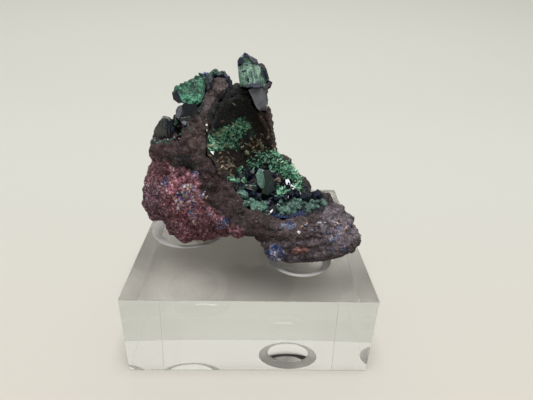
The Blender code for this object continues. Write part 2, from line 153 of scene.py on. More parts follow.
@dataclass(frozen=True)
class Patch:
    """A zone of the surface, drawn as a ragged outline in the picture.

    Attributes:
        outline: The corners of the zone, as pixels.
        colour: The zone's colour.
        ragged: How far its edge wanders, in pixels.
        strength: How much of the colour it lays on.
    """

    outline: tuple[Pixel, ...]
    colour: Colour = (1.0, 1.0, 1.0)
    ragged: float = 3.0
    strength: float = 1.0

    def mask(self, pixels: np.ndarray, drift: np.ndarray) -> np.ndarray:
        """How far each pixel is inside.

        Args:
            pixels: Rows of columns and rows.
            drift: Rows of offsets from -1 to 1, the same for each zone.

        Returns:
            The strength inside and 0 outside, for each row.
        """
        spots = pixels + drift * self.ragged
        inside = np.zeros(len(spots), dtype=bool)
        corners = np.array(self.outline)
        for (x0, y0), (x1, y1) in zip(corners, np.roll(corners, -1, axis=0)):
            spans = (y0 > spots[:, 1]) != (y1 > spots[:, 1])
            cross = x0 + (spots[:, 1] - y0) * (x1 - x0) / (y1 - y0 + 1e-9)
            inside ^= spans & (spots[:, 0] < cross)
        return inside * self.strength


def disc(column: float, row: float, wide: float, tall: float = 0.0) -> tuple[Pixel, ...]:
    """The outline of a round zone.

    Args:
        column: Its middle.
        row: Its middle.
        wide: Half its width.
        tall: Half its height, or 0 for a circle.

    Returns:
        The outline.
    """
    turns = [2 * math.pi * k / DISC_CORNERS for k in range(DISC_CORNERS)]
    return tuple((column + wide * math.cos(t), row + (tall or wide) * math.sin(t)) for t in turns)


# Blender's tools, as a maker uses them by hand

def pick(*pieces: bpy.types.Object) -> bpy.types.Object:
    """Deselects all, then selects these, the first one active.

    Args:
        pieces: What to select.

    Returns:
        The active piece.
    """
    if bpy.context.object and bpy.context.object.mode != "OBJECT":
        bpy.ops.object.mode_set(mode="OBJECT")
    bpy.ops.object.select_all(action="DESELECT")
    for piece in pieces:
        piece.select_set(True)
    bpy.context.view_layer.objects.active = pieces[0]
    return pieces[0]


def finish_with(piece: bpy.types.Object, kind: str, **settings: Any) -> bpy.types.Object:
    """Adds a modifier and applies it.

    Args:
        piece: The piece to change.
        kind: The modifier's type.
        settings: Its values.

    Returns:
        The same piece.
    """
    pick(piece)
    modifier = piece.modifiers.new(kind.lower(), kind)
    for name, value in settings.items():
        setattr(modifier, name, value)
    bpy.ops.object.modifier_apply(modifier=modifier.name)
    return piece


def join(pieces: Sequence[bpy.types.Object], name: str) -> bpy.types.Object:
    """Joins pieces into one, at the origin, under a name."""
    body = pick(*pieces)
    if len(pieces) > 1:
        bpy.ops.object.join()
    bpy.ops.object.transform_apply(location=True, rotation=True, scale=True)
    body.name = name
    body.data.name = name
    return body


def copy_of_node(node: str, name: str) -> bpy.types.Object:
    """A copy of a CAD node with its loose triangles merged into a closed skin.

    Args:
        node: The CAD node.
        name: The copy's name.

    Returns:
        The copy.
    """
    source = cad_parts[node]
    piece = bpy.data.objects.new(name, source.data.copy())
    bpy.context.scene.collection.objects.link(piece)
    piece.data.materials.clear()
    pick(piece)
    bpy.ops.object.mode_set(mode="EDIT")
    bpy.ops.mesh.select_all(action="SELECT")
    bpy.ops.mesh.remove_doubles(threshold=WELD)
    bpy.ops.object.mode_set(mode="OBJECT")
    return piece


def triangles(piece: bpy.types.Object) -> int:
    """How many triangles a piece has."""
    return sum(len(p.vertices) - 2 for p in piece.data.polygons)


def corners_of(piece: bpy.types.Object) -> np.ndarray:
    """A piece's corners, as rows of x, y, z in metres."""
    places = np.empty(len(piece.data.vertices) * 3)
    piece.data.vertices.foreach_get("co", places)
    return places.reshape(-1, 3)


def drift_of(places: np.ndarray, size: float = 1.1, seed: float = 0.0) -> np.ndarray:
    """Smooth random offsets for places, used to make zone edges ragged.

    Args:
        places: Rows of x, y, z in metres.
        size: The size of the wander, in millimetres.
        seed: Moves the pattern.

    Returns:
        Rows of two offsets, about -1 to 1.
    """
    out = np.empty((len(places), 2))
    for row, place in enumerate(places / (size * MM)):
        spot = Vector(place) + Vector((seed, 0, 0))
        out[row] = noise.noise(spot) * 1.4, noise.noise(spot + Vector((31.7, 11.3, 5.1))) * 1.4
    return out


def store(piece: bpy.types.Object, name: str, values: np.ndarray) -> None:
    """Keeps a value or a colour for each corner of a piece, for its material to read.

    Args:
        piece: The piece.
        name: The attribute's name.
        values: One number, or three, for each corner.
    """
    if values.ndim == 1:
        attribute = piece.data.attributes.new(name, "FLOAT", "POINT")
        attribute.data.foreach_set("value", values.astype(np.float32))
    else:
        attribute = piece.data.attributes.new(name, "FLOAT_COLOR", "POINT")
        whole = np.ones((len(values), 4), dtype=np.float32)
        whole[:, :3] = values
        attribute.data.foreach_set("color", whole.ravel())


def cover(piece: bpy.types.Object, patches: Iterable[Patch], seed: float = 0.0) -> np.ndarray:
    """How much of any of the patches each corner of a piece lies in."""
    places = corners_of(piece)
    pixels, drift = VIEW.pixels(places), drift_of(places, seed=seed)
    amount = np.zeros(len(places))
    for patch in patches:
        amount = np.maximum(amount, patch.mask(pixels, drift))
    return amount


def paint_tone(piece: bpy.types.Object, base: Colour, patches: Iterable[Patch]) -> None:
    """Lays the patches' colours over a base colour, and keeps the result on the piece's corners."""
    places = corners_of(piece)
    pixels, drift = VIEW.pixels(places), drift_of(places)
    tone = np.tile(np.array(base), (len(places), 1))
    for patch in patches:
        amount = patch.mask(pixels, drift)[:, None]
        tone = tone * (1 - amount) + np.array(patch.colour) * amount
    store(piece, "tone", tone)


@dataclass(frozen=True)
class Relief:
    """One layer of carved relief, made by a displace modifier with a procedural texture.

    Attributes:
        texture: The texture's type.
        size: The size of its features, in millimetres.
        depth: How far it moves the skin, in millimetres.
        noise: How deep its noise is nested, or 0 to leave it.
        stretch: How much longer the features are along x, y and z.
        group: The vertex group that limits it.
        middle: The value that moves nothing.
    """

    texture: str
    size: float
    depth: float
    noise: int = 0
    stretch: Point = (1.0, 1.0, 1.0)
    group: str = ""
    middle: float = 0.5

    def carve(self, piece: bpy.types.Object) -> None:
        """Carves the layer into a piece."""
        texture = bpy.data.textures.new("relief", self.texture)
        if hasattr(texture, "noise_scale"):
            texture.noise_scale = self.size * MM
        if self.noise:
            texture.noise_depth = self.noise
        guide = bpy.data.objects.new("guide", None)
        bpy.context.scene.collection.objects.link(guide)
        guide.scale = self.stretch
        bpy.context.view_layer.update()
        finish_with(piece, "DISPLACE", texture=texture, strength=self.depth * MM, mid_level=self.middle,
                    texture_coords="OBJECT", texture_coords_object=guide, vertex_group=self.group)
        bpy.data.objects.remove(guide)
        bpy.data.textures.remove(texture)


def fade(values: np.ndarray, start: float, run: float) -> np.ndarray:
    """0 up to a start and 1 past a run from it, which is below 0 to fade the other way."""
    return np.clip((values - start) / run, 0, 1)


def weigh(piece: bpy.types.Object, group: str, weights: np.ndarray) -> None:
    """Keeps weights from 0 to 1 as a vertex group."""
    made = piece.vertex_groups.new(name=group)
    steps = np.clip((weights * 10).round(), 0, 10).astype(int)
    for step in range(1, 11):
        made.add(np.nonzero(steps == step)[0].tolist(), step / 10, "REPLACE")


# Shader maths

def maths(operation: str, reflected: bool = False) -> Callable[["Value", Any], "Value"]:
    """An operator that adds one Math node.

    Args:
        operation: What the node does.
        reflected: Whether the other value comes first.

    Returns:
        The operator, as a method.
    """
    def method(self: "Value", other: Any) -> "Value":
        """Adds the node and gives its result."""
        values = {0: other, 1: self} if reflected else {0: self, 1: other}
        return self.paint.node("ShaderNodeMath", {"operation": operation}, values)

    return method


class Value:
    """A shader socket that adds Math nodes when it is used in an expression."""

    def __init__(self, paint: "Paint", socket: Any) -> None:
        """Wraps an output socket of a material."""
        self.paint = paint
        self.socket = socket

    __add__, __radd__ = maths("ADD"), maths("ADD", True)
    __sub__, __rsub__ = maths("SUBTRACT"), maths("SUBTRACT", True)
    __mul__, __rmul__ = maths("MULTIPLY"), maths("MULTIPLY", True)
    __gt__ = maths("GREATER_THAN")

    def smooth(self, low: float, high: float) -> "Value":
        """0 below low and 1 above high, with a smooth step between."""
        values = {"Value": self, "From Min": low, "From Max": high}
        return self.paint.node("ShaderNodeMapRange", {"interpolation_type": "SMOOTHSTEP"}, values)


class Paint:
    """A material and the few ways its nodes are added."""

    def __init__(self, name: str) -> None:
        """Starts a material with its Principled shader.

        Args:
            name: The material's name.
        """
        self.material = bpy.data.materials.new(name)
        self.material.use_nodes = True
        self.tree = self.material.node_tree
        self.shader = self.tree.nodes["Principled BSDF"]
        self.place = self.tree.nodes.new("ShaderNodeTexCoord").outputs["Object"]

    def node(self, kind: str, settings: Optional[dict[str, Any]] = None,
             values: Optional[dict[Any, Any]] = None,
             output: Union[int, str] = 0) -> Value:
        """Adds a node.

        Args:
            kind: The node's type.
            settings: Its properties, set first; "stops" fills a colour ramp.
            values: Numbers, colours, sockets or Values for its inputs, by name or index.
            output: The output that is returned.

        Returns:
            The output, ready for expressions.
        """
        node = self.tree.nodes.new(kind)
        for name, value in (settings or {}).items():
            if name == "stops":
                self._fill_ramp(node.color_ramp, value)
            else:
                setattr(node, name, value)
        for name, value in (values or {}).items():
            self.feed(node.inputs[name], value)
        return Value(self, node.outputs[output])

    def _fill_ramp(self, ramp: Any, stops: Sequence[tuple[float, Colour]]) -> None:
        """Sets a colour ramp's stops."""
        while len(ramp.elements) < len(stops):
            ramp.elements.new(1.0)
        for element, (spot, colour) in zip(ramp.elements, stops):
            element.position = spot
            element.color = (*colour, 1.0)

    def feed(self, socket: Any, value: Any) -> None:
        """Sets or links one input.

        Args:
            socket: The input.
            value: A number, a colour, a socket or a Value.
        """
        if isinstance(value, Value):
            value = value.socket
        if isinstance(value, bpy.types.NodeSocket):
            self.tree.links.new(value, socket)
        elif isinstance(value, tuple) and len(value) == 3 and socket.type == "RGBA":
            socket.default_value = (*value, 1.0)
        else:
            socket.default_value = value

    def shade(self, **sockets: Any) -> "Paint":
        """Feeds the shader's inputs, named with underscores for spaces."""
        for name, value in sockets.items():
            self.feed(self.shader.inputs[name.replace("_", " ")], value)
        return self

    def cloud(self, size: float, detail: float = 4.0, rough: float = 0.6,
              stretch: Optional[Point] = None) -> Value:
        """Soft noise of a size in millimetres, 0 to 1, longer along the axes by a stretch."""
        place = self.place
        if stretch:
            scale = tuple(1.0 / s for s in stretch)
            place = self.node("ShaderNodeMapping", {}, {"Vector": place, "Scale": scale})
        values = {"Vector": place, "Scale": 1.0 / (size * MM), "Detail": detail, "Roughness": rough}
        return self.node("ShaderNodeTexNoise", {}, values)

    def cells(self, size: float, output: str = "Distance") -> Value:
        """Cells of a size in millimetres: the distance from their middles, or their random colours."""
        values = {"Vector": self.place, "Scale": 1.0 / (size * MM)}
        return self.node("ShaderNodeTexVoronoi", {}, values, output)

    def chance(self, size: float) -> Value:
        """One random number for each cell of a size in millimetres."""
        return self.node("ShaderNodeSeparateColor", {}, {0: self.cells(size, "Color")})

    def kept(self, name: str, output: str = "Color") -> Value:
        """What the piece keeps on its corners under a name."""
        return self.node("ShaderNodeAttribute", {"attribute_name": name}, {}, output)

    def mix(self, amount: Any, first: Any, second: Any, blend: str = "MIX") -> Value:
        """Two colours mixed."""
        settings = {"data_type": "RGBA", "blend_type": blend}
        return self.node("ShaderNodeMix", settings, {0: amount, 6: first, 7: second}, 2)

    def ramp(self, amount: Any, stops: Sequence[tuple[float, Colour]], step: bool = False) -> Value:
        """A colour picked along stops."""
        node = self.node("ShaderNodeValToRGB", {"stops": stops}, {0: amount})
        if step:
            node.socket.node.color_ramp.interpolation = "CONSTANT"
        return node

    def bump(self, height: Any, depth: float, strength: float = 1.0) -> Value:
        """A bump of a depth in millimetres."""
        return self.node("ShaderNodeBump", {}, {"Height": height, "Distance": depth * MM,
                                                "Strength": strength})

    def fixed(self, **sockets: float) -> bpy.types.Material:
        """Sets constants on the shader, underscores for spaces, and gives the finished material."""
        for name, value in sockets.items():
            self.shader.inputs[name.replace("_", " ")].default_value = value
        return self.material


# The finishes

@dataclass(frozen=True)
class RockFinish:
    """Iron-stained rock: painted zones, broken up by grain, with tiny glints painted into its colour among
    real coloured grains.

    Attributes:
        name: The material's name.
        glint: The share of the finest cells that glint, painted pale or coloured: partly real grains, partly
            painted glints.
    """

    name: str = "iron stained rock"
    glint: float = 0.018

    def make(self) -> bpy.types.Material:
        """Builds the material."""
        p = Paint(self.name)
        fresh = p.kept("fresh", "Fac")
        broad = p.cloud(2.4, 5, 0.65)
        fine = p.cloud(0.55, 4, 0.7)
        grit = p.chance(0.36)
        tone = p.mix(broad.smooth(0.42, 0.70) * (0.75 - fresh * 0.3), p.kept("tone"), (0.016, 0.011, 0.012))
        grades = p.ramp(grit, ((0.0, (0.30, 0.27, 0.28)), (0.22, (0.75, 0.75, 0.75)), (0.50, (1.0, 1.0, 1.0)),
                               (0.80, (1.7, 1.9, 1.9)), (1.0, (3.0, 4.2, 4.0))))
        tone = p.mix(0.25 + fresh * 0.7, tone, p.mix(1.0, tone, grades, "MULTIPLY"))
        veins = p.ramp(fine, ((0.36, (0.34, 0.34, 0.34)), (0.51, (1.0, 1.0, 1.0)), (0.68, (2.2, 2.2, 2.2))))
        tone = p.mix(0.85, tone, p.mix(1.0, tone, veins, "MULTIPLY"))
        # Painted glints: a few fine cells take pale, orange or blue colours and less roughness, partly real
        # coloured grains and partly painted highlight.
        grain_and_painted_glint = (p.chance(0.21) > (1 - self.glint)) * (0.2 + fresh)
        tone = p.mix(grain_and_painted_glint, tone, p.ramp(p.chance(0.7), (
            (0.0, (0.62, 0.58, 0.60)), (0.45, (0.55, 0.32, 0.2)), (0.62, (0.10, 0.20, 0.42)),
            (0.8, (0.60, 0.52, 0.56)),
        ), step=True))
        rough = 0.80 - grain_and_painted_glint * 0.4 - fresh * 0.15
        height = fine * 0.7 + p.cells(0.33) * (0.3 + fresh * 0.7) + p.cloud(0.16, 3, 0.6) * 0.3
        p.shade(Base_Color=tone, Roughness=rough, Normal=p.bump(height, 0.26, 1.0))
        return p.fixed(Specular_IOR_Level=0.4)


@dataclass(frozen=True)
class CrustFinish:
    """The hollow's wall: black velvety crust, browner low down, painted green and navy where minerals grew.

    Attributes:
        name: The material's name.
    """

    name: str = "hollow crust"

    def make(self) -> bpy.types.Material:
        """Builds the material."""
        p = Paint(self.name)
        fine = p.cloud(0.45, 4, 0.7)
        tone = p.mix(fine.smooth(0.42, 0.78) * 0.7, p.kept("tone"),
                     p.mix(1.0, p.kept("tone"), (2.6, 2.6, 2.4), "MULTIPLY"))
        rust = (p.chance(0.42) > 0.965) * p.cloud(5.0, 2).smooth(0.45, 0.6)
        tone = p.mix(rust, tone, (0.30, 0.19, 0.09))
        tone = p.mix((p.chance(0.30) > 0.90) * 0.6, tone, (0.060, 0.062, 0.060))
        height = p.cells(0.36) * 0.9 + fine * 0.5
        rough = 0.78 - p.kept("gloss", "Fac") * 0.5
        p.shade(Base_Color=tone, Roughness=rough, Normal=p.bump(height, 0.25, 1.0))
        return p.fixed(Specular_IOR_Level=0.4)


@dataclass(frozen=True)
class GrainFinish:
    """Small crystals and grains whose colour is picked for each one.

    Attributes:
        name: The material's name.
        stops: The colours, along each grain's own number.
        rough: The roughness.
        blotch: The colour that mottles them.
        mottle: How strong the mottling is.
    """

    name: str
    stops: tuple[tuple[float, Colour], ...]
    rough: float = 0.45
    blotch: Colour = (0.01, 0.03, 0.02)
    mottle: float = 0.5

    def make(self) -> bpy.types.Material:
        """Builds the material."""
        p = Paint(self.name)
        own = p.ramp(p.kept("tint", "Fac"), self.stops)
        fine = p.cloud(0.3, 3, 0.6)
        tone = p.mix(fine.smooth(0.45, 0.7) * self.mottle, own, self.blotch)
        p.shade(Base_Color=tone, Roughness=self.rough + fine * 0.15, Normal=p.bump(fine, 0.05, 0.6))
        return p.material


@dataclass(frozen=True)
class MalachiteFinish:
    """A malachite coat on a crystal: streaky light and dark green, with navy showing through in marks.

    Attributes:
        name: The material's name.
        light: The lightest green.
        green: The main green.
        deep: The darkest green.
        dark: The colour of the marks.
        coat: How glossy its skin is.
        streak: How long the streaks are along x, y and z.
        size: The streaks' width, in millimetres.
    """

    name: str
    light: Colour = (0.24, 0.44, 0.32)
    green: Colour = (0.085, 0.22, 0.145)
    deep: Colour = (0.02, 0.06, 0.045)
    streak: Point = (1.0, 1.0, 3.5)
    size: float = 0.8
    dark: Colour = (0.012, 0.017, 0.045)
    coat: float = 0.15

    def make(self) -> bpy.types.Material:
        """Builds the material."""
        p = Paint(self.name)
        ribs = p.cloud(self.size, 5, 0.65, self.streak)
        patchy = p.cloud(2.4, 3, 0.5)
        thin = p.cloud(self.size * 0.35, 3, 0.6, self.streak)
        tone = p.ramp(ribs * 0.5 + patchy * 0.3 + thin * 0.2,
                      ((0.38, self.deep), (0.48, self.green), (0.60, self.light)))
        tone = p.mix(p.kept("pale", "Fac") * thin.smooth(0.35, 0.6), tone, self.light)
        speck = (p.chance(0.28) > 0.86) * 0.7
        tone = p.mix(speck, tone, self.deep)
        tone = p.mix(p.kept("navy", "Fac"), tone, p.mix(thin.smooth(0.45, 0.7), self.dark,
                                                        (0.045, 0.055, 0.10)))
        fine = p.cells(0.25)
        rough = 0.48 - p.kept("navy", "Fac") * 0.25
        p.shade(Base_Color=tone, Roughness=rough, Normal=p.bump(fine * 0.5 + ribs + thin * 0.5, 0.16, 0.9))
        return p.fixed(Coat_Weight=self.coat)


@dataclass(frozen=True)
class AzuriteFinish:
    """Azurite: nearly black blue and glossy, with fine growth lines.

    Attributes:
        name: The material's name.
        colour: Its colour.
        sheen: The brighter colour of its painted sheen, in soft patches.
        rough: The roughness.
        coat: How glossy its skin is.
        dust: How much green dust lies on it.
    """

    name: str = "dark azurite"
    colour: Colour = (0.006, 0.008, 0.020)
    sheen: Colour = (0.014, 0.020, 0.070)
    rough: float = 0.16
    coat: float = 0.6
    dust: float = 0.4

    def make(self) -> bpy.types.Material:
        """Builds the material."""
        p = Paint(self.name)
        patchy = p.cloud(1.1, 4, 0.6)
        lines = p.cloud(0.22, 3, 0.5, (1.0, 1.0, 6.0))
        # Painted sheen: soft patches of a brighter blue.
        tone = p.mix(patchy.smooth(0.5, 0.72), self.colour, self.sheen)
        dusty = p.cloud(0.7, 4, 0.7).smooth(0.62, 0.74)
        tone = p.mix(dusty * self.dust, tone, (0.05, 0.11, 0.085))
        p.shade(Base_Color=tone, Roughness=self.rough + dusty * 0.4, Normal=p.bump(lines, 0.03, 0.6))
        return p.fixed(Coat_Weight=self.coat, Coat_Roughness=0.05)


@dataclass(frozen=True)
class MirrorFinish:
    """The flat grey faces of a dark crystal, which mirror the room: the grey is a painted reflection, under a
    glossy coat.

    Attributes:
        name: The material's name.
        colour: Its grey, a painted reflection.
        shade: The colour of the painted reflection's darker patches.
        coat: How glossy its skin is.
    """

    name: str = "mirror face azurite"
    colour: Colour = (0.170, 0.176, 0.188)
    shade: Colour = (0.095, 0.102, 0.122)
    coat: float = 0.5

    def make(self) -> bpy.types.Material:
        """Builds the material."""
        p = Paint(self.name)
        patchy = p.cloud(1.6, 3, 0.5)
        # The grey painted reflection, in soft patches, under the glossy coat.
        tone = p.mix(patchy.smooth(0.35, 0.7), self.colour, self.shade)
        p.shade(Base_Color=tone, Roughness=0.16 + patchy * 0.08, Normal=p.bump(patchy, 0.03, 0.4))
        return p.fixed(Coat_Weight=self.coat)


@dataclass(frozen=True)
class AcrylicFinish:
    """Clear polished acrylic.

    Attributes:
        name: The material's name.
        bend: How much it bends light.
    """

    name: str = "clear acrylic"
    bend: float = 1.49

    def make(self) -> bpy.types.Material:
        """Builds the material."""
        p = Paint(self.name).shade(Base_Color=(1.0, 1.0, 1.0))
        return p.fixed(Roughness=0.0, Transmission_Weight=1.0, IOR=self.bend)


@dataclass(frozen=True)
class GroundFinish:
    """Acrylic ground to a fine white frost, as the seats' rims are.

    Attributes:
        name: The material's name.
        through: How much light it lets through.
        bend: How much it bends light.
    """

    name: str = "ground acrylic"
    through: float = 0.20
    bend: float = 1.49

    def make(self) -> bpy.types.Material:
        """Builds the material."""
        p = Paint(self.name)
        swirl = p.cloud(0.5, 4, 0.6)
        p.shade(Base_Color=p.mix(swirl, (0.97, 0.97, 0.96), (0.88, 0.88, 0.87)),
                Normal=p.bump(swirl, 0.02, 0.4))
        return p.fixed(Roughness=0.30, Transmission_Weight=self.through, IOR=self.bend)


@dataclass(frozen=True)
class PaperFinish:
    """The pale floor and backdrop.

    Attributes:
        name: The material's name.
        near: The floor's colour in front.
        far: The floor's colour behind.
        high: The backdrop's colour, darker than the floor's: painted shade higher up.
    """

    name: str = "pale paper"
    near: Colour = (0.655, 0.615, 0.548)
    far: Colour = (0.650, 0.650, 0.598)
    high: Colour = (0.555, 0.556, 0.496)

    def make(self) -> bpy.types.Material:
        """Builds the material."""
        p = Paint(self.name)
        along, height = (p.node("ShaderNodeSeparateXYZ", {}, {0: p.place}, axis) for axis in (1, 2))
        tone = p.mix(along.smooth(-0.08, 0.10), self.near, self.far)
        # Darker up the backdrop: painted shade.
        tone = p.mix(height.smooth(0.0, 0.12), tone, self.high)
        fibre = p.cloud(0.9, 3, 0.6)
        p.shade(Base_Color=tone, Roughness=0.88 + fibre * 0.06, Normal=p.bump(fibre, 0.01, 0.2))
        return p.material


# What grows in numbers

class Form(enum.Enum):
    """The shapes of small crystals and grains."""

    CHIP = "chip"
    ROD = "rod"


def hull(name: str, corners: Sequence[Sequence[float]], bevel: float = 0.0) -> bpy.types.Object:
    """A flat-faced solid stretched over corners.

    Args:
        name: The solid's name.
        corners: The corners, in millimetres.
        bevel: How much its edges are eased, in millimetres.

    Returns:
        The solid.
    """
    mesh = bpy.data.meshes.new(name)
    mesh.from_pydata([tuple(c * MM for c in corner) for corner in corners], [], [])
    piece = bpy.data.objects.new(name, mesh)
    bpy.context.scene.collection.objects.link(piece)
    pick(piece)
    bpy.ops.object.mode_set(mode="EDIT")
    bpy.ops.mesh.select_all(action="SELECT")
    bpy.ops.mesh.convex_hull()
    bpy.ops.mesh.select_all(action="SELECT")
    bpy.ops.mesh.dissolve_limited(angle_limit=math.radians(3))
    if bevel:
        bpy.ops.mesh.select_all(action="SELECT")
        bpy.ops.mesh.bevel(offset=bevel * MM, segments=1, affect="EDGES", clamp_overlap=True)
    bpy.ops.mesh.select_all(action="SELECT")
    bpy.ops.mesh.normals_make_consistent(inside=False)
    bpy.ops.object.mode_set(mode="OBJECT")
    return piece


def prism(foot: Vector, axis: Vector, length: float, radius: float, draw: random.Random,
          flat: float, tip: float, ridge: float) -> list[Vector]:
    """The corners of a prism with a chisel tip.

    Args:
        foot: The middle of its base.
        axis: The way it points.
        length: Its length.
        radius: Half its width.
        draw: Where its small irregularities come from.
        flat: Its thickness, as a share of its width.
        tip: The share of its length that tapers.
        ridge: Half the length of the tip's edge, as a share of the radius.

    Returns:
        The corners.
    """
    axis = axis.normalized()
    side = axis.cross(Vector((draw.uniform(-1, 1), draw.uniform(-1, 1), draw.uniform(-1, 1)))).normalized()
    thin = axis.cross(side)
    corners = []
    for height in (0.0, 1.0 - tip):
        for k in range(SIDES):
            turn = 2 * math.pi * (k + 0.5) / SIDES
            out = side * math.cos(turn) + thin * math.sin(turn) * flat
            lift = height * length * draw.uniform(0.92, 1.04) if height else 0.0
            corners.append(foot + axis * lift + out * radius * draw.uniform(0.88, 1.06))
    for way in (-1, 1):
        corners.append(foot + axis * length * draw.uniform(0.9, 1.0) + side * radius * ridge * way)
    return corners


# The small faces that throw the lamp's light: how they look, grey with a painted reflection under a glossy
# coat, and the way they face
SHINE = ((0.16, 0.165, 0.18), (0.10, 0.11, 0.13), 1.0)
GLINT: Point = (-0.03, -0.61, 0.79)


@dataclass(frozen=True)
class Facet:
    """A flat crystal face whose outline is drawn in the picture, with its crystal behind it.

    Attributes:
        outline: Its corners, as pixels.
        depth: The y of its middle, in millimetres.
        normal: The way it faces; as given, it throws the lamp's light forward.
        thick: How far its crystal runs back, in millimetres.
    """

    outline: tuple[Pixel, ...]
    depth: float
    normal: Point = GLINT
    thick: float = 0.8

    def build(self) -> bpy.types.Object:
        """Builds the crystal."""
        normal = Vector(self.normal).normalized()
        eye = Vector(VIEW.location)
        columns, rows = zip(*self.outline)
        anchor = VIEW.at_depth((sum(columns) / len(columns), sum(rows) / len(rows)), self.depth)
        corners = []
        for pixel in self.outline:
            way = VIEW.ray(pixel)
            front = eye + way * ((anchor - eye).dot(normal) / way.dot(normal))
            corners += [front, front.lerp(anchor, 0.2) - normal * self.thick]
        return hull("facet", corners, 0.03)


def ground(*nodes: str) -> BVHTree:
    """The skins of some CAD nodes as one, for finding where things stand."""
    places, faces = [], []
    for node in nodes:
        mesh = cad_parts[node].data
        faces += [[v + len(places) for v in face.vertices] for face in mesh.polygons]
        places += [v.co for v in mesh.vertices]
    return BVHTree.FromPolygons(places, faces)


def stand(tree: BVHTree, pixel: Pixel) -> tuple[Vector, Vector]:
    """Where a skin is seen at a pixel.

    Args:
        tree: The skin.
        pixel: Column and row.

    Returns:
        The place in millimetres and the surface's normal.
    """
    hit, normal, _, _ = tree.ray_cast(Vector(VIEW.location) * MM, VIEW.ray(pixel))
    if hit is None:
        hit, normal, _, _ = tree.find_nearest(VIEW.at_depth(pixel, -3.0) * MM)
    return hit / MM, normal


def knob(middle: Vector, half: float, draw: random.Random, points: int = 14) -> bpy.types.Object:
    """A small lump of flat faces.

    Args:
        middle: Its middle, in millimetres.
        half: Its radius, in millimetres.
        draw: Where its irregularities come from.
        points: How many corners it has.

    Returns:
        The lump.
    """
    ways = [Vector([draw.gauss(0, 1) for _ in range(3)]).normalized() for _ in range(points)]
    return hull("knob", [middle + way * half * draw.uniform(0.85, 1.1) for way in ways])


def seed_forms(form: Form, count: int, seed: int) -> list[bpy.types.Object]:
    """A few small shapes of one kind, about 1 mm across and growing along z, to be copied in numbers.

    Args:
        form: The kind.
        count: How many.
        seed: Where their differences come from.

    Returns:
        The shapes.
    """
    draw = random.Random(seed)
    made = []
    for number in range(count):
        if form is Form.CHIP:
            corners = [Vector([draw.uniform(-0.5, 0.5) for _ in range(3)]) for _ in range(9)]
        else:
            corners = prism(Vector((0, 0, -0.3)), Vector((0, 0, 1)), 1.7, 0.30, draw, 0.8, 0.35, 0.2)
        made.append(hull(f"{form.value} {number}", corners))
    return made


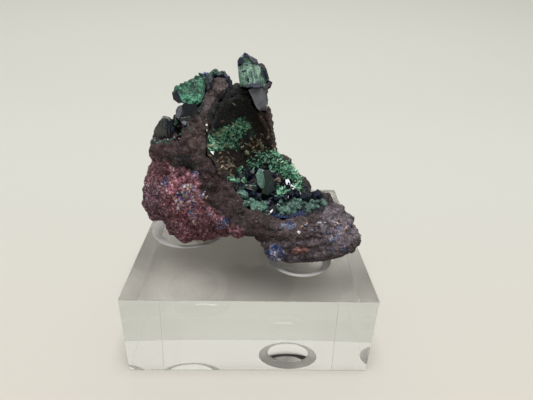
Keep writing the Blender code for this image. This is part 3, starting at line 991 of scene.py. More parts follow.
@dataclass(frozen=True)
class Growth:
    """Many small crystals or grains on a surface, as one mesh.

    Attributes:
        name: The piece's name.
        form: The shape that is repeated.
        mask: The name of the value on the surface that says where they grow.
        spacing: The least distance between two, in millimetres.
        sizes: The smallest and the largest scale of the shape.
        lean: How far they lean from the surface's normal, in radians.
        seed: Where the pattern comes from.
        kinds: How many different shapes are mixed.
    """

    name: str
    form: Form
    mask: str
    spacing: float
    sizes: tuple[float, float]
    lean: float
    seed: int
    kinds: int = 5

    def grow(self, surface: bpy.types.Object) -> bpy.types.Object:
        """Grows them with geometry nodes, realized and applied.

        Args:
            surface: What they grow on, with the mask on its corners.

        Returns:
            The piece.
        """
        stock = bpy.data.collections.new(self.name + " stock")
        forms = seed_forms(self.form, self.kinds, self.seed)
        for form in forms:
            bpy.context.scene.collection.objects.unlink(form)
            stock.objects.link(form)
        piece = bpy.data.objects.new(self.name, surface.data.copy())
        bpy.context.scene.collection.objects.link(piece)
        piece.data.materials.clear()
        tree = self._tree(stock)
        pick(piece)
        modifier = piece.modifiers.new("grow", "NODES")
        modifier.node_group = tree
        bpy.ops.object.modifier_apply(modifier=modifier.name)
        for form in forms:
            bpy.data.objects.remove(form)
        bpy.data.collections.remove(stock)
        bpy.data.node_groups.remove(tree)
        piece.data.name = self.name
        return piece

    def _tree(self, stock: bpy.types.Collection) -> bpy.types.NodeTree:
        """The node tree that scatters the stock's shapes over the surface."""
        tree = bpy.data.node_groups.new(self.name, "GeometryNodeTree")
        tree.interface.new_socket("Geometry", in_out="INPUT", socket_type="NodeSocketGeometry")
        tree.interface.new_socket("Geometry", in_out="OUTPUT", socket_type="NodeSocketGeometry")

        def add(kind: str, **settings: Any) -> bpy.types.Node:
            """Adds a node with its properties set."""
            node = tree.nodes.new(kind)
            for name, value in settings.items():
                setattr(node, name, value)
            return node

        start, end = add("NodeGroupInput"), add("NodeGroupOutput")
        where = add("GeometryNodeInputNamedAttribute", data_type="FLOAT")
        where.inputs["Name"].default_value = self.mask
        spots = add("GeometryNodeDistributePointsOnFaces", distribute_method="POISSON")
        spots.inputs["Distance Min"].default_value = self.spacing * MM
        spots.inputs["Density Max"].default_value = 1.6 / (self.spacing * MM) ** 2
        spots.inputs["Seed"].default_value = self.seed
        shapes = add("GeometryNodeCollectionInfo")
        shapes.inputs["Collection"].default_value = stock
        shapes.inputs["Separate Children"].default_value = True
        shapes.inputs["Reset Children"].default_value = True
        size = add("FunctionNodeRandomValue", data_type="FLOAT")
        size.inputs[2].default_value, size.inputs[3].default_value = self.sizes
        size.inputs["Seed"].default_value = self.seed + 1
        turn = add("FunctionNodeRandomValue", data_type="FLOAT_VECTOR")
        turn.inputs[0].default_value = (-self.lean, -self.lean, -math.pi)
        turn.inputs[1].default_value = (self.lean, self.lean, math.pi)
        turn.inputs["Seed"].default_value = self.seed + 2
        place = add("GeometryNodeInstanceOnPoints")
        place.inputs["Pick Instance"].default_value = True
        lean = add("GeometryNodeRotateInstances")
        tint = add("FunctionNodeRandomValue", data_type="FLOAT")
        tint.inputs["Seed"].default_value = self.seed + 3
        keep = add("GeometryNodeStoreNamedAttribute", data_type="FLOAT", domain="INSTANCE")
        keep.inputs["Name"].default_value = "tint"
        real = add("GeometryNodeRealizeInstances")
        for source, target in (
            (start.outputs[0], spots.inputs["Mesh"]),
            (where.outputs[0], spots.inputs["Density Factor"]),
            (spots.outputs["Points"], place.inputs["Points"]),
            (spots.outputs["Rotation"], place.inputs["Rotation"]),
            (shapes.outputs[0], place.inputs["Instance"]),
            (size.outputs[1], place.inputs["Scale"]),
            (place.outputs[0], lean.inputs["Instances"]),
            (turn.outputs[0], lean.inputs["Rotation"]),
            (lean.outputs[0], keep.inputs["Geometry"]),
            (tint.outputs[1], keep.inputs["Value"]),
            (keep.outputs[0], real.inputs[0]),
            (real.outputs[0], end.inputs[0]),
        ):
            tree.links.new(source, target)
        return tree


def hand_in(piece: bpy.types.Object, material: bpy.types.Material, slot: str,
            *nodes: str) -> bpy.types.Object:
    """Gives a finished piece its material and its body, and hides the CAD nodes that it stands for.

    Args:
        piece: The piece.
        material: Its finish.
        slot: The record's material slot; not used.
        nodes: The CAD nodes it replaces.

    Returns:
        The same piece.
    """
    piece.data.materials.clear()
    piece.data.materials.append(material)
    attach(piece, "root")
    if nodes:
        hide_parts(*nodes)
    LOG.info("%s: %d triangles", piece.name, triangles(piece))
    return piece


def plain(colour: Colour) -> tuple[tuple[float, Colour], ...]:
    """The stops of a finish that is one colour throughout."""
    return ((0.0, colour), (1.0, colour))


def plates(name: str, finish: Any, slot: str, *facets: Facet) -> None:
    """Builds flat crystals as one piece and gives it its finish and body.

    Args:
        name: The piece's name.
        finish: Its finish.
        slot: The record's material slot.
        facets: The crystals.
    """
    hand_in(join([facet.build() for facet in facets], name), finish.make(), slot)


def standing(name: str, spots: Sequence[tuple[Pixel, float, float, Point]], draw: random.Random, root: float,
             longer: float, shape: Point, bevel: float) -> bpy.types.Object:
    """Prisms that stand on the crust where pixels show them.

    Args:
        name: The piece's name.
        spots: Each prism's pixel, length, radius and direction.
        draw: Where their irregularities come from.
        root: How deep they are rooted, in millimetres.
        longer: How much longer that makes them, in millimetres.
        shape: Their flatness, tip and ridge.
        bevel: How much their edges are eased, in millimetres.

    Returns:
        The piece.
    """
    tree = ground("vug_crust")
    solids = []
    for pixel, length, radius, way in spots:
        foot, normal = stand(tree, pixel)
        axis = Vector(way).normalized() * 0.7 + normal * 0.3
        corners = prism(foot - axis.normalized() * root, axis, length + longer, radius, draw, *shape)
        solids.append(hull("prism", corners, bevel))
    return join(solids, name)


def coated(name: str, solids: Sequence[bpy.types.Object], reliefs: Sequence[Relief], finish: Any, slot: str,
           nodes: Sequence[str] = (), navy: Sequence[Patch] = (), pale: Sequence[Patch] = (),
           fineness: float = FINE,
           crease: float = 45.0, seeds: tuple[float, float] = (0.0, 0.0)) -> None:
    """Fuses solids under one mineral coat, carves the coat, and gives it its finish and body.

    Args:
        name: The piece's name.
        solids: The solids.
        reliefs: What is carved into the coat, in order.
        finish: Its finish.
        slot: The record's material slot.
        nodes: The CAD nodes it replaces.
        navy: Where navy shows through.
        pale: Where it is palest.
        fineness: The fineness of its skin, in millimetres.
        crease: The angle past which an edge stays sharp, in degrees.
        seeds: What moves the edges of the navy and the pale zones.
    """
    piece = finish_with(join(solids, name), "REMESH", mode="VOXEL", voxel_size=fineness * MM)
    for relief in reliefs:
        relief.carve(piece)
    pick(piece)
    bpy.ops.object.shade_smooth_by_angle(angle=math.radians(crease))
    store(piece, "navy", cover(piece, navy, seeds[0]))
    store(piece, "pale", cover(piece, pale, seeds[1]))
    hand_in(piece, finish.make(), slot, *nodes)


# The rock

BREAK = ((146, 156), (160, 161), (172, 163), (178, 168), (190, 170), (197, 172), (200, 185), (204, 200),
         (212, 207), (220, 213), (228, 226), (243, 234), (236, 242), (215, 250), (190, 255), (160, 250),
         (130, 205), (130, 170))


@dataclass
class Rock:
    """The iron-stained rock with its fresh break, its brown ridge and its layered right foot.

    Attributes:
        voxel: The fineness of its skin, in millimetres.
        base: Its colour where no zone is painted.
        fresh: Where it broke.
        zones: Its colours, each over the ones before; some are painted shade.
        blue: Where blue specks grow.
        bright: Where bright grains grow; their pale colours are partly painted glints.
        reliefs: What is carved into it, in order.
    """

    voxel: float = 0.30
    base: Colour = (0.050, 0.030, 0.031)
    fresh: tuple[Patch, ...] = (Patch(BREAK),)
    zones: tuple[Patch, ...] = (
        Patch(BREAK, (0.200, 0.080, 0.100)),
        Patch(((143, 183), (158, 184), (160, 205), (167, 224), (150, 215), (136, 200)),
              (0.130, 0.058, 0.078)),
        Patch(((168, 178), (196, 175), (202, 196), (208, 211), (184, 222), (170, 208)), (0.400, 0.150, 0.185),
              4.0, 0.8),
        Patch(((167, 224), (200, 226), (236, 224), (245, 235), (240, 244), (160, 250)),
              (0.165, 0.058, 0.074)),
        Patch(((148, 138), (185, 136), (202, 150), (196, 166), (178, 165), (160, 160), (148, 158)),
              (0.064, 0.034, 0.037)),
        # A painted shadow low on the shelf, darker than the shelf above it.
        Patch(((170, 156), (186, 154), (197, 160), (196, 170), (178, 168)), (0.030, 0.026, 0.030)),
        Patch(((203, 70), (232, 78), (222, 98), (208, 112), (202, 128), (194, 126), (196, 108), (203, 92)),
              (0.096, 0.070, 0.068)),
        Patch(((188, 126), (206, 122), (205, 150), (198, 158), (186, 146)), (0.080, 0.052, 0.048)),
        Patch(((200, 152), (213, 158), (222, 178), (232, 196), (224, 206), (206, 190), (199, 170)),
              (0.040, 0.020, 0.022)),
        Patch(((270, 222), (300, 216), (322, 213), (338, 206), (345, 222), (330, 234), (300, 236),
               (272, 232)),
              (0.088, 0.060, 0.064)),
        Patch(((322, 204), (343, 204), (360, 230), (358, 243), (342, 247), (330, 241), (318, 234),
               (318, 222)),
              (0.165, 0.132, 0.150), 4.0),
        Patch(((258, 243), (285, 240), (320, 239), (345, 245), (360, 246), (345, 280), (262, 280)),
              (0.098, 0.075, 0.084)),
        Patch(disc(301, 250, 8, 4), (0.34, 0.15, 0.13), 2.0, 0.8),
        Patch(disc(277, 255, 10, 9), (0.14, 0.12, 0.17), 3.0, 0.85),
        Patch(disc(288, 226, 8, 2.5), (0.22, 0.23, 0.30), 2.0, 0.7),
        Patch(((270, 104), (276, 104), (278, 140), (292, 165), (286, 168), (270, 142)),
              (0.085, 0.062, 0.054)),
        Patch(((223, 90), (231, 85), (236, 79), (247, 84), (262, 88), (262, 112), (240, 104), (226, 112),
               (211, 120), (206, 116), (211, 104), (217, 95)), (0.018, 0.017, 0.019), 1.5),
        # Painted shade in the recess under the wedge.
        Patch(((183, 103), (206, 101), (204, 111), (196, 117), (184, 118)), (0.012, 0.016, 0.015), 1.5),
    )
    blue: tuple[Patch, ...] = (
        Patch(disc(166, 182, 5), ragged=2.0), Patch(disc(184, 198, 7, 8), ragged=3.0),
        Patch(disc(190, 212, 5, 2.5)),
        Patch(disc(224, 223, 5, 6)), Patch(disc(275, 253, 9, 9), ragged=2.0), Patch(disc(196, 174, 5, 3)),
        Patch(disc(203, 194, 4, 4), strength=0.5), Patch(disc(288, 226, 8, 3), strength=0.6),
        Patch(disc(335, 228, 18, 12), strength=0.16), Patch(disc(340, 248, 8, 3), strength=0.5),
    )
    bright: tuple[Patch, ...] = (
        Patch(disc(188, 190, 8, 7), strength=0.9), Patch(disc(183, 200, 6, 8), strength=0.7),
        Patch(((189, 195), (194, 194), (195, 216), (190, 219)), ragged=1.5), Patch(disc(192, 214, 5, 2)),
        Patch(disc(163, 186, 5, 3), strength=0.6),
        Patch(disc(194, 218, 3, 2)), Patch(disc(204, 195, 5, 4)), Patch(disc(211, 213, 4, 4), strength=0.5),
        Patch(disc(276, 254, 9, 9), strength=0.35), Patch(disc(331, 229, 16, 10), strength=0.25),
        Patch(disc(303, 226, 10, 4), strength=0.3), Patch(disc(182, 210, 25, 20), strength=0.05),
    )
    reliefs: tuple[Relief, ...] = (
        Relief("CLOUDS", 9.0, 1.5, group="swollen", middle=0.0),
        Relief("VORONOI", 2.6, 1.3, group="fresh", middle=0.30),
        Relief("VORONOI", 1.1, 0.75, group="fresh", middle=0.30),
        Relief("CLOUDS", 0.45, 0.50, 2, group="fresh"),
        Relief("CLOUDS", 2.0, 1.3, 3, group="weathered", middle=0.47),
        Relief("VORONOI", 1.7, 0.75, 0, (1.3, 1.3, 0.8), "weathered", 0.30),
        Relief("CLOUDS", 0.6, 0.45, 2, (1.5, 1.5, 0.8), "weathered"),
        Relief("CLOUDS", 1.5, 1.5, 2, (3.0, 3.0, 0.7), "layered", 0.48),
    )

    def build(self) -> bpy.types.Object:
        """Models the rock's skin over the CAD form, and paints its zones."""
        piece = copy_of_node("matrix_rock", "rock_surface")
        finish_with(piece, "REMESH", mode="VOXEL", voxel_size=self.voxel * MM)
        fresh = cover(piece, self.fresh)
        x, y, z = (corners_of(piece) / MM).T
        seated = fade(z, 19.6, 1.2)
        weigh(piece, "fresh", fresh * seated)
        weigh(piece, "weathered", (1 - fresh) * seated)
        weigh(piece, "layered", fade(x, 3, 5) * fade(z, 33, -4) * seated)
        low_left = fade(x, -12, -3) * fade(x, -21, 3) * fade(y, 3, -4) * fade(z, 25, -3)
        weigh(piece, "swollen", low_left * seated)
        for relief in self.reliefs:
            relief.carve(piece)
        piece.vertex_groups.clear()
        paint_tone(piece, self.base, self.zones)
        store(piece, "fresh", cover(piece, self.fresh))
        store(piece, "blue", cover(piece, self.blue, 3.0))
        store(piece, "bright", cover(piece, self.bright, 7.0))
        pick(piece)
        bpy.ops.object.shade_smooth_by_angle(angle=math.radians(38))
        return piece

    def dress(self) -> None:
        """Builds the rock, its specks and its grains, with their finishes."""
        piece = self.build()
        specks = Growth("azurite_specks", Form.CHIP, "blue", 0.34, (0.28, 0.62), 3.0, 11).grow(piece)
        grains = Growth("bright_grains", Form.CHIP, "bright", 0.44, (0.30, 1.05), 3.0, 12).grow(piece)
        hand_in(piece, RockFinish().make(), "iron_stained_rock", "matrix_rock")
        blues = ((0.0, (0.015, 0.04, 0.19)), (0.4, (0.04, 0.10, 0.34)), (0.7, (0.12, 0.24, 0.46)),
                 (0.9, (0.4, 0.4, 0.55)))
        hand_in(specks, GrainFinish("azurite specks", blues, 0.3, (0.008, 0.012, 0.05), 0.4).make(),
                "azurite")
        # The bright grains: partly real pale and coloured grains, partly painted glints in their near-white
        # colours.
        lights = ((0.0, (0.62, 0.46, 0.50)), (0.3, (0.80, 0.78, 0.80)), (0.55, (0.55, 0.27, 0.14)),
                  (0.8, (0.2, 0.24, 0.40)))
        hand_in(grains, GrainFinish("bright grains", lights, 0.35, (0.12, 0.05, 0.055), 0.5).make(),
                "iron_stained_rock")


# The hollow

@dataclass
class Hollow:
    """The crust on the hollow's wall, with its drusy green bands, its pocket crystals and its green lobes.

    Attributes:
        voxel: The fineness of the crust's skin, in millimetres.
        base: The black of the crust.
        band: Where the green crystals grow.
        tan: Where the tan crystals grow.
        zones: The crust's colours, each over the ones before.
        reliefs: What is carved into it, in order.
    """

    voxel: float = 0.24
    base: Colour = (0.023, 0.023, 0.026)
    band: tuple[Patch, ...] = (
        Patch(((207, 145), (210, 137), (213, 130), (222, 128), (232, 124), (237, 119), (249, 119), (252, 123),
               (250, 129), (244, 134), (242, 138), (236, 140), (241, 146), (236, 150), (226, 147), (218, 150),
               (208, 150)), ragged=3.5),
        Patch(((258, 152), (266, 150), (276, 150), (287, 160), (293, 166), (300, 178), (305, 189), (299, 193),
               (291, 183), (286, 178), (282, 172), (276, 175), (271, 168), (264, 163), (257, 160)),
               ragged=3.5),
        Patch(((245, 158), (254, 157), (264, 160), (262, 166), (252, 168), (246, 165)), ragged=3.0,
              strength=0.7),
        Patch(((226, 177), (238, 178), (247, 178), (246, 183), (232, 182)), ragged=2.0, strength=0.7),
        Patch(disc(252, 134, 4, 4), strength=0.3), Patch(disc(266, 108, 5, 5), strength=0.8),
        Patch(disc(241, 172, 3, 4), strength=0.5),
        Patch(((280, 184), (290, 192), (284, 196), (274, 194), (276, 187)), strength=0.8),
    )
    tan: tuple[Patch, ...] = (
        Patch(((240, 135), (262, 133), (271, 138), (268, 150), (255, 156), (246, 154), (239, 147)),
              strength=0.6),
        Patch(((218, 159), (233, 157), (234, 168), (220, 167)), strength=0.6),
        Patch(((216, 150), (248, 148), (250, 158), (225, 158)), strength=0.25),
        Patch(disc(235, 176, 5, 3), strength=0.6), Patch(disc(278, 181, 3, 4)),
        Patch(disc(264, 114, 6, 8), strength=0.4), Patch(disc(225, 103, 6, 8), strength=0.06),
    )
    zones: tuple[Patch, ...] = (
        Patch(((212, 150), (262, 138), (270, 150), (262, 170), (240, 182), (225, 182), (213, 165)),
              (0.026, 0.017, 0.015)),
        Patch(((255, 105), (275, 105), (278, 148), (262, 150), (250, 130)), (0.032, 0.021, 0.018)),
        Patch(((236, 168), (256, 165), (284, 168), (296, 186), (324, 188), (330, 200), (320, 214), (290, 224),
               (262, 222), (240, 212), (232, 190)), (0.008, 0.010, 0.016), 2.0),
        Patch(((268, 213), (280, 215), (290, 217), (300, 210), (306, 213), (296, 221), (280, 224),
               (267, 221)),
              (0.009, 0.022, 0.085), 2.0),
    )
    reliefs: tuple[Relief, ...] = (
        Relief("VORONOI", 1.3, 0.5),
        Relief("VORONOI", 0.55, 0.22),
        Relief("CLOUDS", 0.4, 0.22, 2),
    )

    def build(self) -> bpy.types.Object:
        """Models the crust's velvety skin over the CAD form, and lays out its zones."""
        piece = copy_of_node("vug_crust", "crust_surface")
        finish_with(piece, "REMESH", mode="VOXEL", voxel_size=self.voxel * MM)
        for relief in self.reliefs:
            relief.carve(piece)
        band = cover(piece, self.band, 2.0)
        tone_zones = self.zones + tuple(Patch(p.outline, (0.028, 0.085, 0.055), p.ragged, 0.8)
                                        for p in self.band)
        paint_tone(piece, self.base, tone_zones)
        store(piece, "band", band)
        store(piece, "tan", cover(piece, self.tan, 5.0))
        store(piece, "gloss", cover(piece, self.zones[2:]))
        pick(piece)
        bpy.ops.object.shade_smooth_by_angle(angle=math.radians(40))
        return piece

    def dress(self) -> None:
        """Builds the crust and what grows on it, with their finishes."""
        piece = self.build()
        green = Growth("green_druse", Form.ROD, "band", 0.38, (0.45, 0.85), 0.9, 21, 6).grow(piece)
        tan = Growth("tan_crystals", Form.ROD, "tan", 0.62, (0.35, 0.95), 1.3, 22, 6).grow(piece)
        hand_in(piece, CrustFinish().make(), "hollow_crust", "vug_crust")
        greens = ((0.0, (0.05, 0.19, 0.11)), (0.3, (0.15, 0.44, 0.28)), (0.7, (0.33, 0.72, 0.50)),
                  (1.0, (0.72, 0.86, 0.62)))
        hand_in(green, GrainFinish("green druse", greens, 0.42, (0.02, 0.065, 0.045), 0.45).make(),
                "malachite")
        tans = ((0.0, (0.16, 0.10, 0.07)), (0.45, (0.32, 0.22, 0.15)), (0.8, (0.48, 0.38, 0.27)),
                (1.0, (0.25, 0.32, 0.18)))
        hand_in(tan, GrainFinish("tan crystals", tans, 0.5, (0.05, 0.03, 0.02), 0.5).make(), "hollow_crust")
        self.crystals()
        self.lobes()

    def crystals(self) -> None:
        """The pocket's large crystals, the small ones around them and the pale ones on the wall above."""
        draw = random.Random(5)
        green = MalachiteFinish("dark green crystal", (0.028, 0.066, 0.050), (0.009, 0.026, 0.020),
                                (0.004, 0.009, 0.008), (1.0, 1.0, 3.0), 0.7, coat=0.5)
        plates("pocket_crystal", green, "malachite",
               Facet(((261.4, 171.6), (265.5, 170.6), (271.0, 174.6), (274.8, 182.0), (273.6, 190.0),
                      (268.4, 195.6), (262.0, 193.0)),
                     -3.3, (0.25, -0.93, 0.25), 4.0),
               Facet(((238.5, 187.0), (246.0, 185.4), (255.6, 186.4), (256.0, 197.0), (248.0, 202.0),
                      (240.0, 197.5)),
                     -3.0, (-0.15, -0.85, 0.5), 3.0))
        pale = MalachiteFinish("pale green face", (0.36, 0.58, 0.47), (0.17, 0.32, 0.25), (0.07, 0.14, 0.11))
        plates("pocket_pale_face", pale, "malachite",
               Facet(((255.6, 174.6), (259.0, 168.4), (262.2, 170.6), (262.4, 182.0), (261.0, 188.6),
                      (257.6, 184.0)),
                     -3.4, (-0.62, -0.70, 0.36), 3.4),
               Facet(((245.0, 184.6), (256.0, 185.2), (256.0, 186.3), (245.0, 185.7)), -3.3, (0, -0.8, 0.6),
                     0.6))
        spots = (
            ((250, 196), 3.6, 1.5, (-0.2, -0.1, 1)), ((243, 190), 2.6, 1.1, (-0.4, -0.1, 1)),
            ((257, 197), 2.4, 1.0, (0.3, -0.3, 1)), ((249, 178), 2.6, 1.2, (-0.3, 0, 1)),
            ((257, 172), 2.4, 1.0, (0, -0.2, 1)), ((284, 199), 2.4, 1.0, (0.2, -0.2, 1)),
            ((277, 200), 2.0, 0.9, (-0.3, -0.2, 1)), ((288, 196), 2.6, 1.0, (0.4, 0, 1)),
            ((272, 196), 2.2, 0.9, (0, -0.5, 1)), ((296, 196), 2.6, 1.1, (0.3, -0.2, 1)),
            ((304, 199), 2.6, 1.2, (0.2, -0.3, 1)), ((280, 186), 2.2, 0.9, (0, -0.4, 1)),
            ((288, 186), 1.8, 0.8, (0.4, -0.4, 1)), ((262, 200), 1.8, 0.8, (0, -0.6, 1)),
            ((316, 197), 2.6, 1.5, (0.1, -0.1, 1)), ((240, 180), 1.8, 0.8, (-0.5, 0, 1)),
            ((275, 176), 2.0, 0.8, (0.3, -0.3, 1)), ((268, 168), 1.6, 0.7, (0.1, -0.3, 1)),
        )
        dark = standing("pocket_azurite", spots, draw, 0.7, 0.0, (0.7, 0.35, 0.5), 0.05)
        hand_in(dark, AzuriteFinish().make(), "azurite")
        plates("pocket_glints", MirrorFinish("pocket glint", *SHINE), "azurite",
               Facet(((285.0, 179.5), (288.4, 178.8), (290.4, 182.5), (289.4, 186.0), (286.2, 184.2)), -1.9),
               Facet(((288.4, 184.4), (291.0, 184.0), (295.8, 187.4), (294.8, 189.8), (291.0, 188.6)), -2.1),
               Facet(((296.4, 192.2), (299.0, 191.0), (301.2, 193.5), (300.5, 195.2), (298.4, 194.2)), -2.0),
               Facet(((285.5, 196.2), (288.5, 195.5), (288.8, 198.2), (286.2, 198.6)), -4.6),
               Facet(((277.0, 203.2), (281.0, 203.0), (280.0, 205.4), (277.4, 205.0)), -6.6),
               Facet(((285.0, 202.0), (287.2, 202.0), (287.0, 204.8), (285.2, 204.6)), -5.6),
               Facet(((269.6, 211.6), (272.4, 208.6), (273.2, 210.0), (271.0, 213.4)), -10.6),
               Facet(((258.5, 195.6), (260.2, 195.4), (261.2, 199.3), (259.7, 199.3)), -6.4),
               Facet(((311.0, 199.4), (316.4, 193.2), (318.0, 194.6), (313.0, 200.4)), -4.9),
               Facet(((249.8, 171.2), (252.0, 170.0), (255.2, 170.6), (254.0, 173.2), (251.5, 173.4)), 4.6,
                     (-0.03, -0.50, 0.85)))
        spots = (
            ((216, 135), 1.7, 0.55, (-0.3, -0.5, 0.8)), ((219, 132), 2.0, 0.6, (0.5, -0.5, 0.7)),
            ((222, 130), 1.6, 0.5, (0.8, -0.4, 0.3)), ((214, 130), 1.4, 0.45, (-0.7, -0.4, 0.6)),
            ((209, 146), 1.6, 0.5, (0.9, -0.4, 0.2)), ((212, 148), 1.2, 0.4, (0.5, -0.6, 0.5)),
            ((247, 153), 1.1, 0.75, (0, -0.8, 0.5)), ((261, 146), 2.3, 0.42, (-0.1, -0.3, 1)),
            ((259, 141), 1.5, 0.35, (0.4, -0.5, 0.7)), ((229, 162), 1.3, 0.4, (-0.4, -0.5, 0.7)),
            ((225, 146), 1.4, 0.4, (0.2, -0.6, 0.7)), ((234, 126), 1.4, 0.4, (0.3, -0.5, 0.8)),
        )
        wall = standing("wall_crystals", spots, draw, 0.5, 0.5, (0.75, 0.3, 0.4), 0.03)
        pale = GrainFinish("wall crystals", plain((0.36, 0.42, 0.27)), 0.4, (0.16, 0.12, 0.07), 0.7)
        hand_in(wall, pale.make(), "malachite")

    def lobes(self) -> None:
        """The green ball clusters and smooth lobes along the pocket's front."""
        draw = random.Random(9)
        tree = ground("vug_crust")
        spots = [((241, 195), 1.25), ((238, 200), 1.15), ((244, 203), 1.05), ((246, 197), 0.8),
                 ((240, 206), 0.8), ((236, 195), 0.7)]
        for start, end, count, size in (
            ((248, 202), (268, 205), 12, 0.62), ((249, 207), (268, 210), 12, 0.62),
            ((254, 213), (268, 216), 8, 0.5), ((276, 204), (304, 203), 12, 0.70),
            ((276, 209), (300, 208), 10, 0.80), ((280, 213), (296, 212), 7, 0.6),
            ((304, 206), (326, 202), 10, 0.65), ((306, 211), (320, 207), 6, 0.5),
        ):
            for k in range(count):
                share = (k + draw.uniform(0.1, 0.9)) / count
                pixel = (start[0] + (end[0] - start[0]) * share,
                         start[1] + (end[1] - start[1]) * share + draw.uniform(-2, 2))
                spots.append((pixel, size * draw.uniform(0.55, 1.25)))
        balls = []
        for pixel, radius in spots:
            foot, normal = stand(tree, pixel)
            bpy.ops.object.select_all(action="DESELECT")
            bpy.ops.mesh.primitive_ico_sphere_add(subdivisions=3, radius=radius * MM,
                                                  location=(foot + normal * radius * 0.1) * MM)
            ball = bpy.context.object
            ball.scale = (draw.uniform(0.8, 1.3), draw.uniform(0.8, 1.3), draw.uniform(0.6, 1.0))
            balls.append(ball)
        reliefs = (Relief("CLOUDS", 0.9, 0.5, 2), Relief("VORONOI", 0.5, 0.30, middle=0.3),
                   Relief("CLOUDS", 0.22, 0.16))
        finish = MalachiteFinish("green lobes", (0.20, 0.38, 0.30), (0.040, 0.095, 0.076),
                                 (0.009, 0.022, 0.022), (1.0, 1.0, 1.0), 0.5)
        navy = (Patch(((268, 196), (276, 196), (276, 216), (268, 218)), strength=0.9),)
        pale = (Patch(disc(258, 207, 9, 8), strength=0.8),)
        coated("green_lobes", balls, reliefs, finish, "malachite", (), navy, pale, 0.13, 50.0, (2.0, 3.0))


# The crystals on the rim

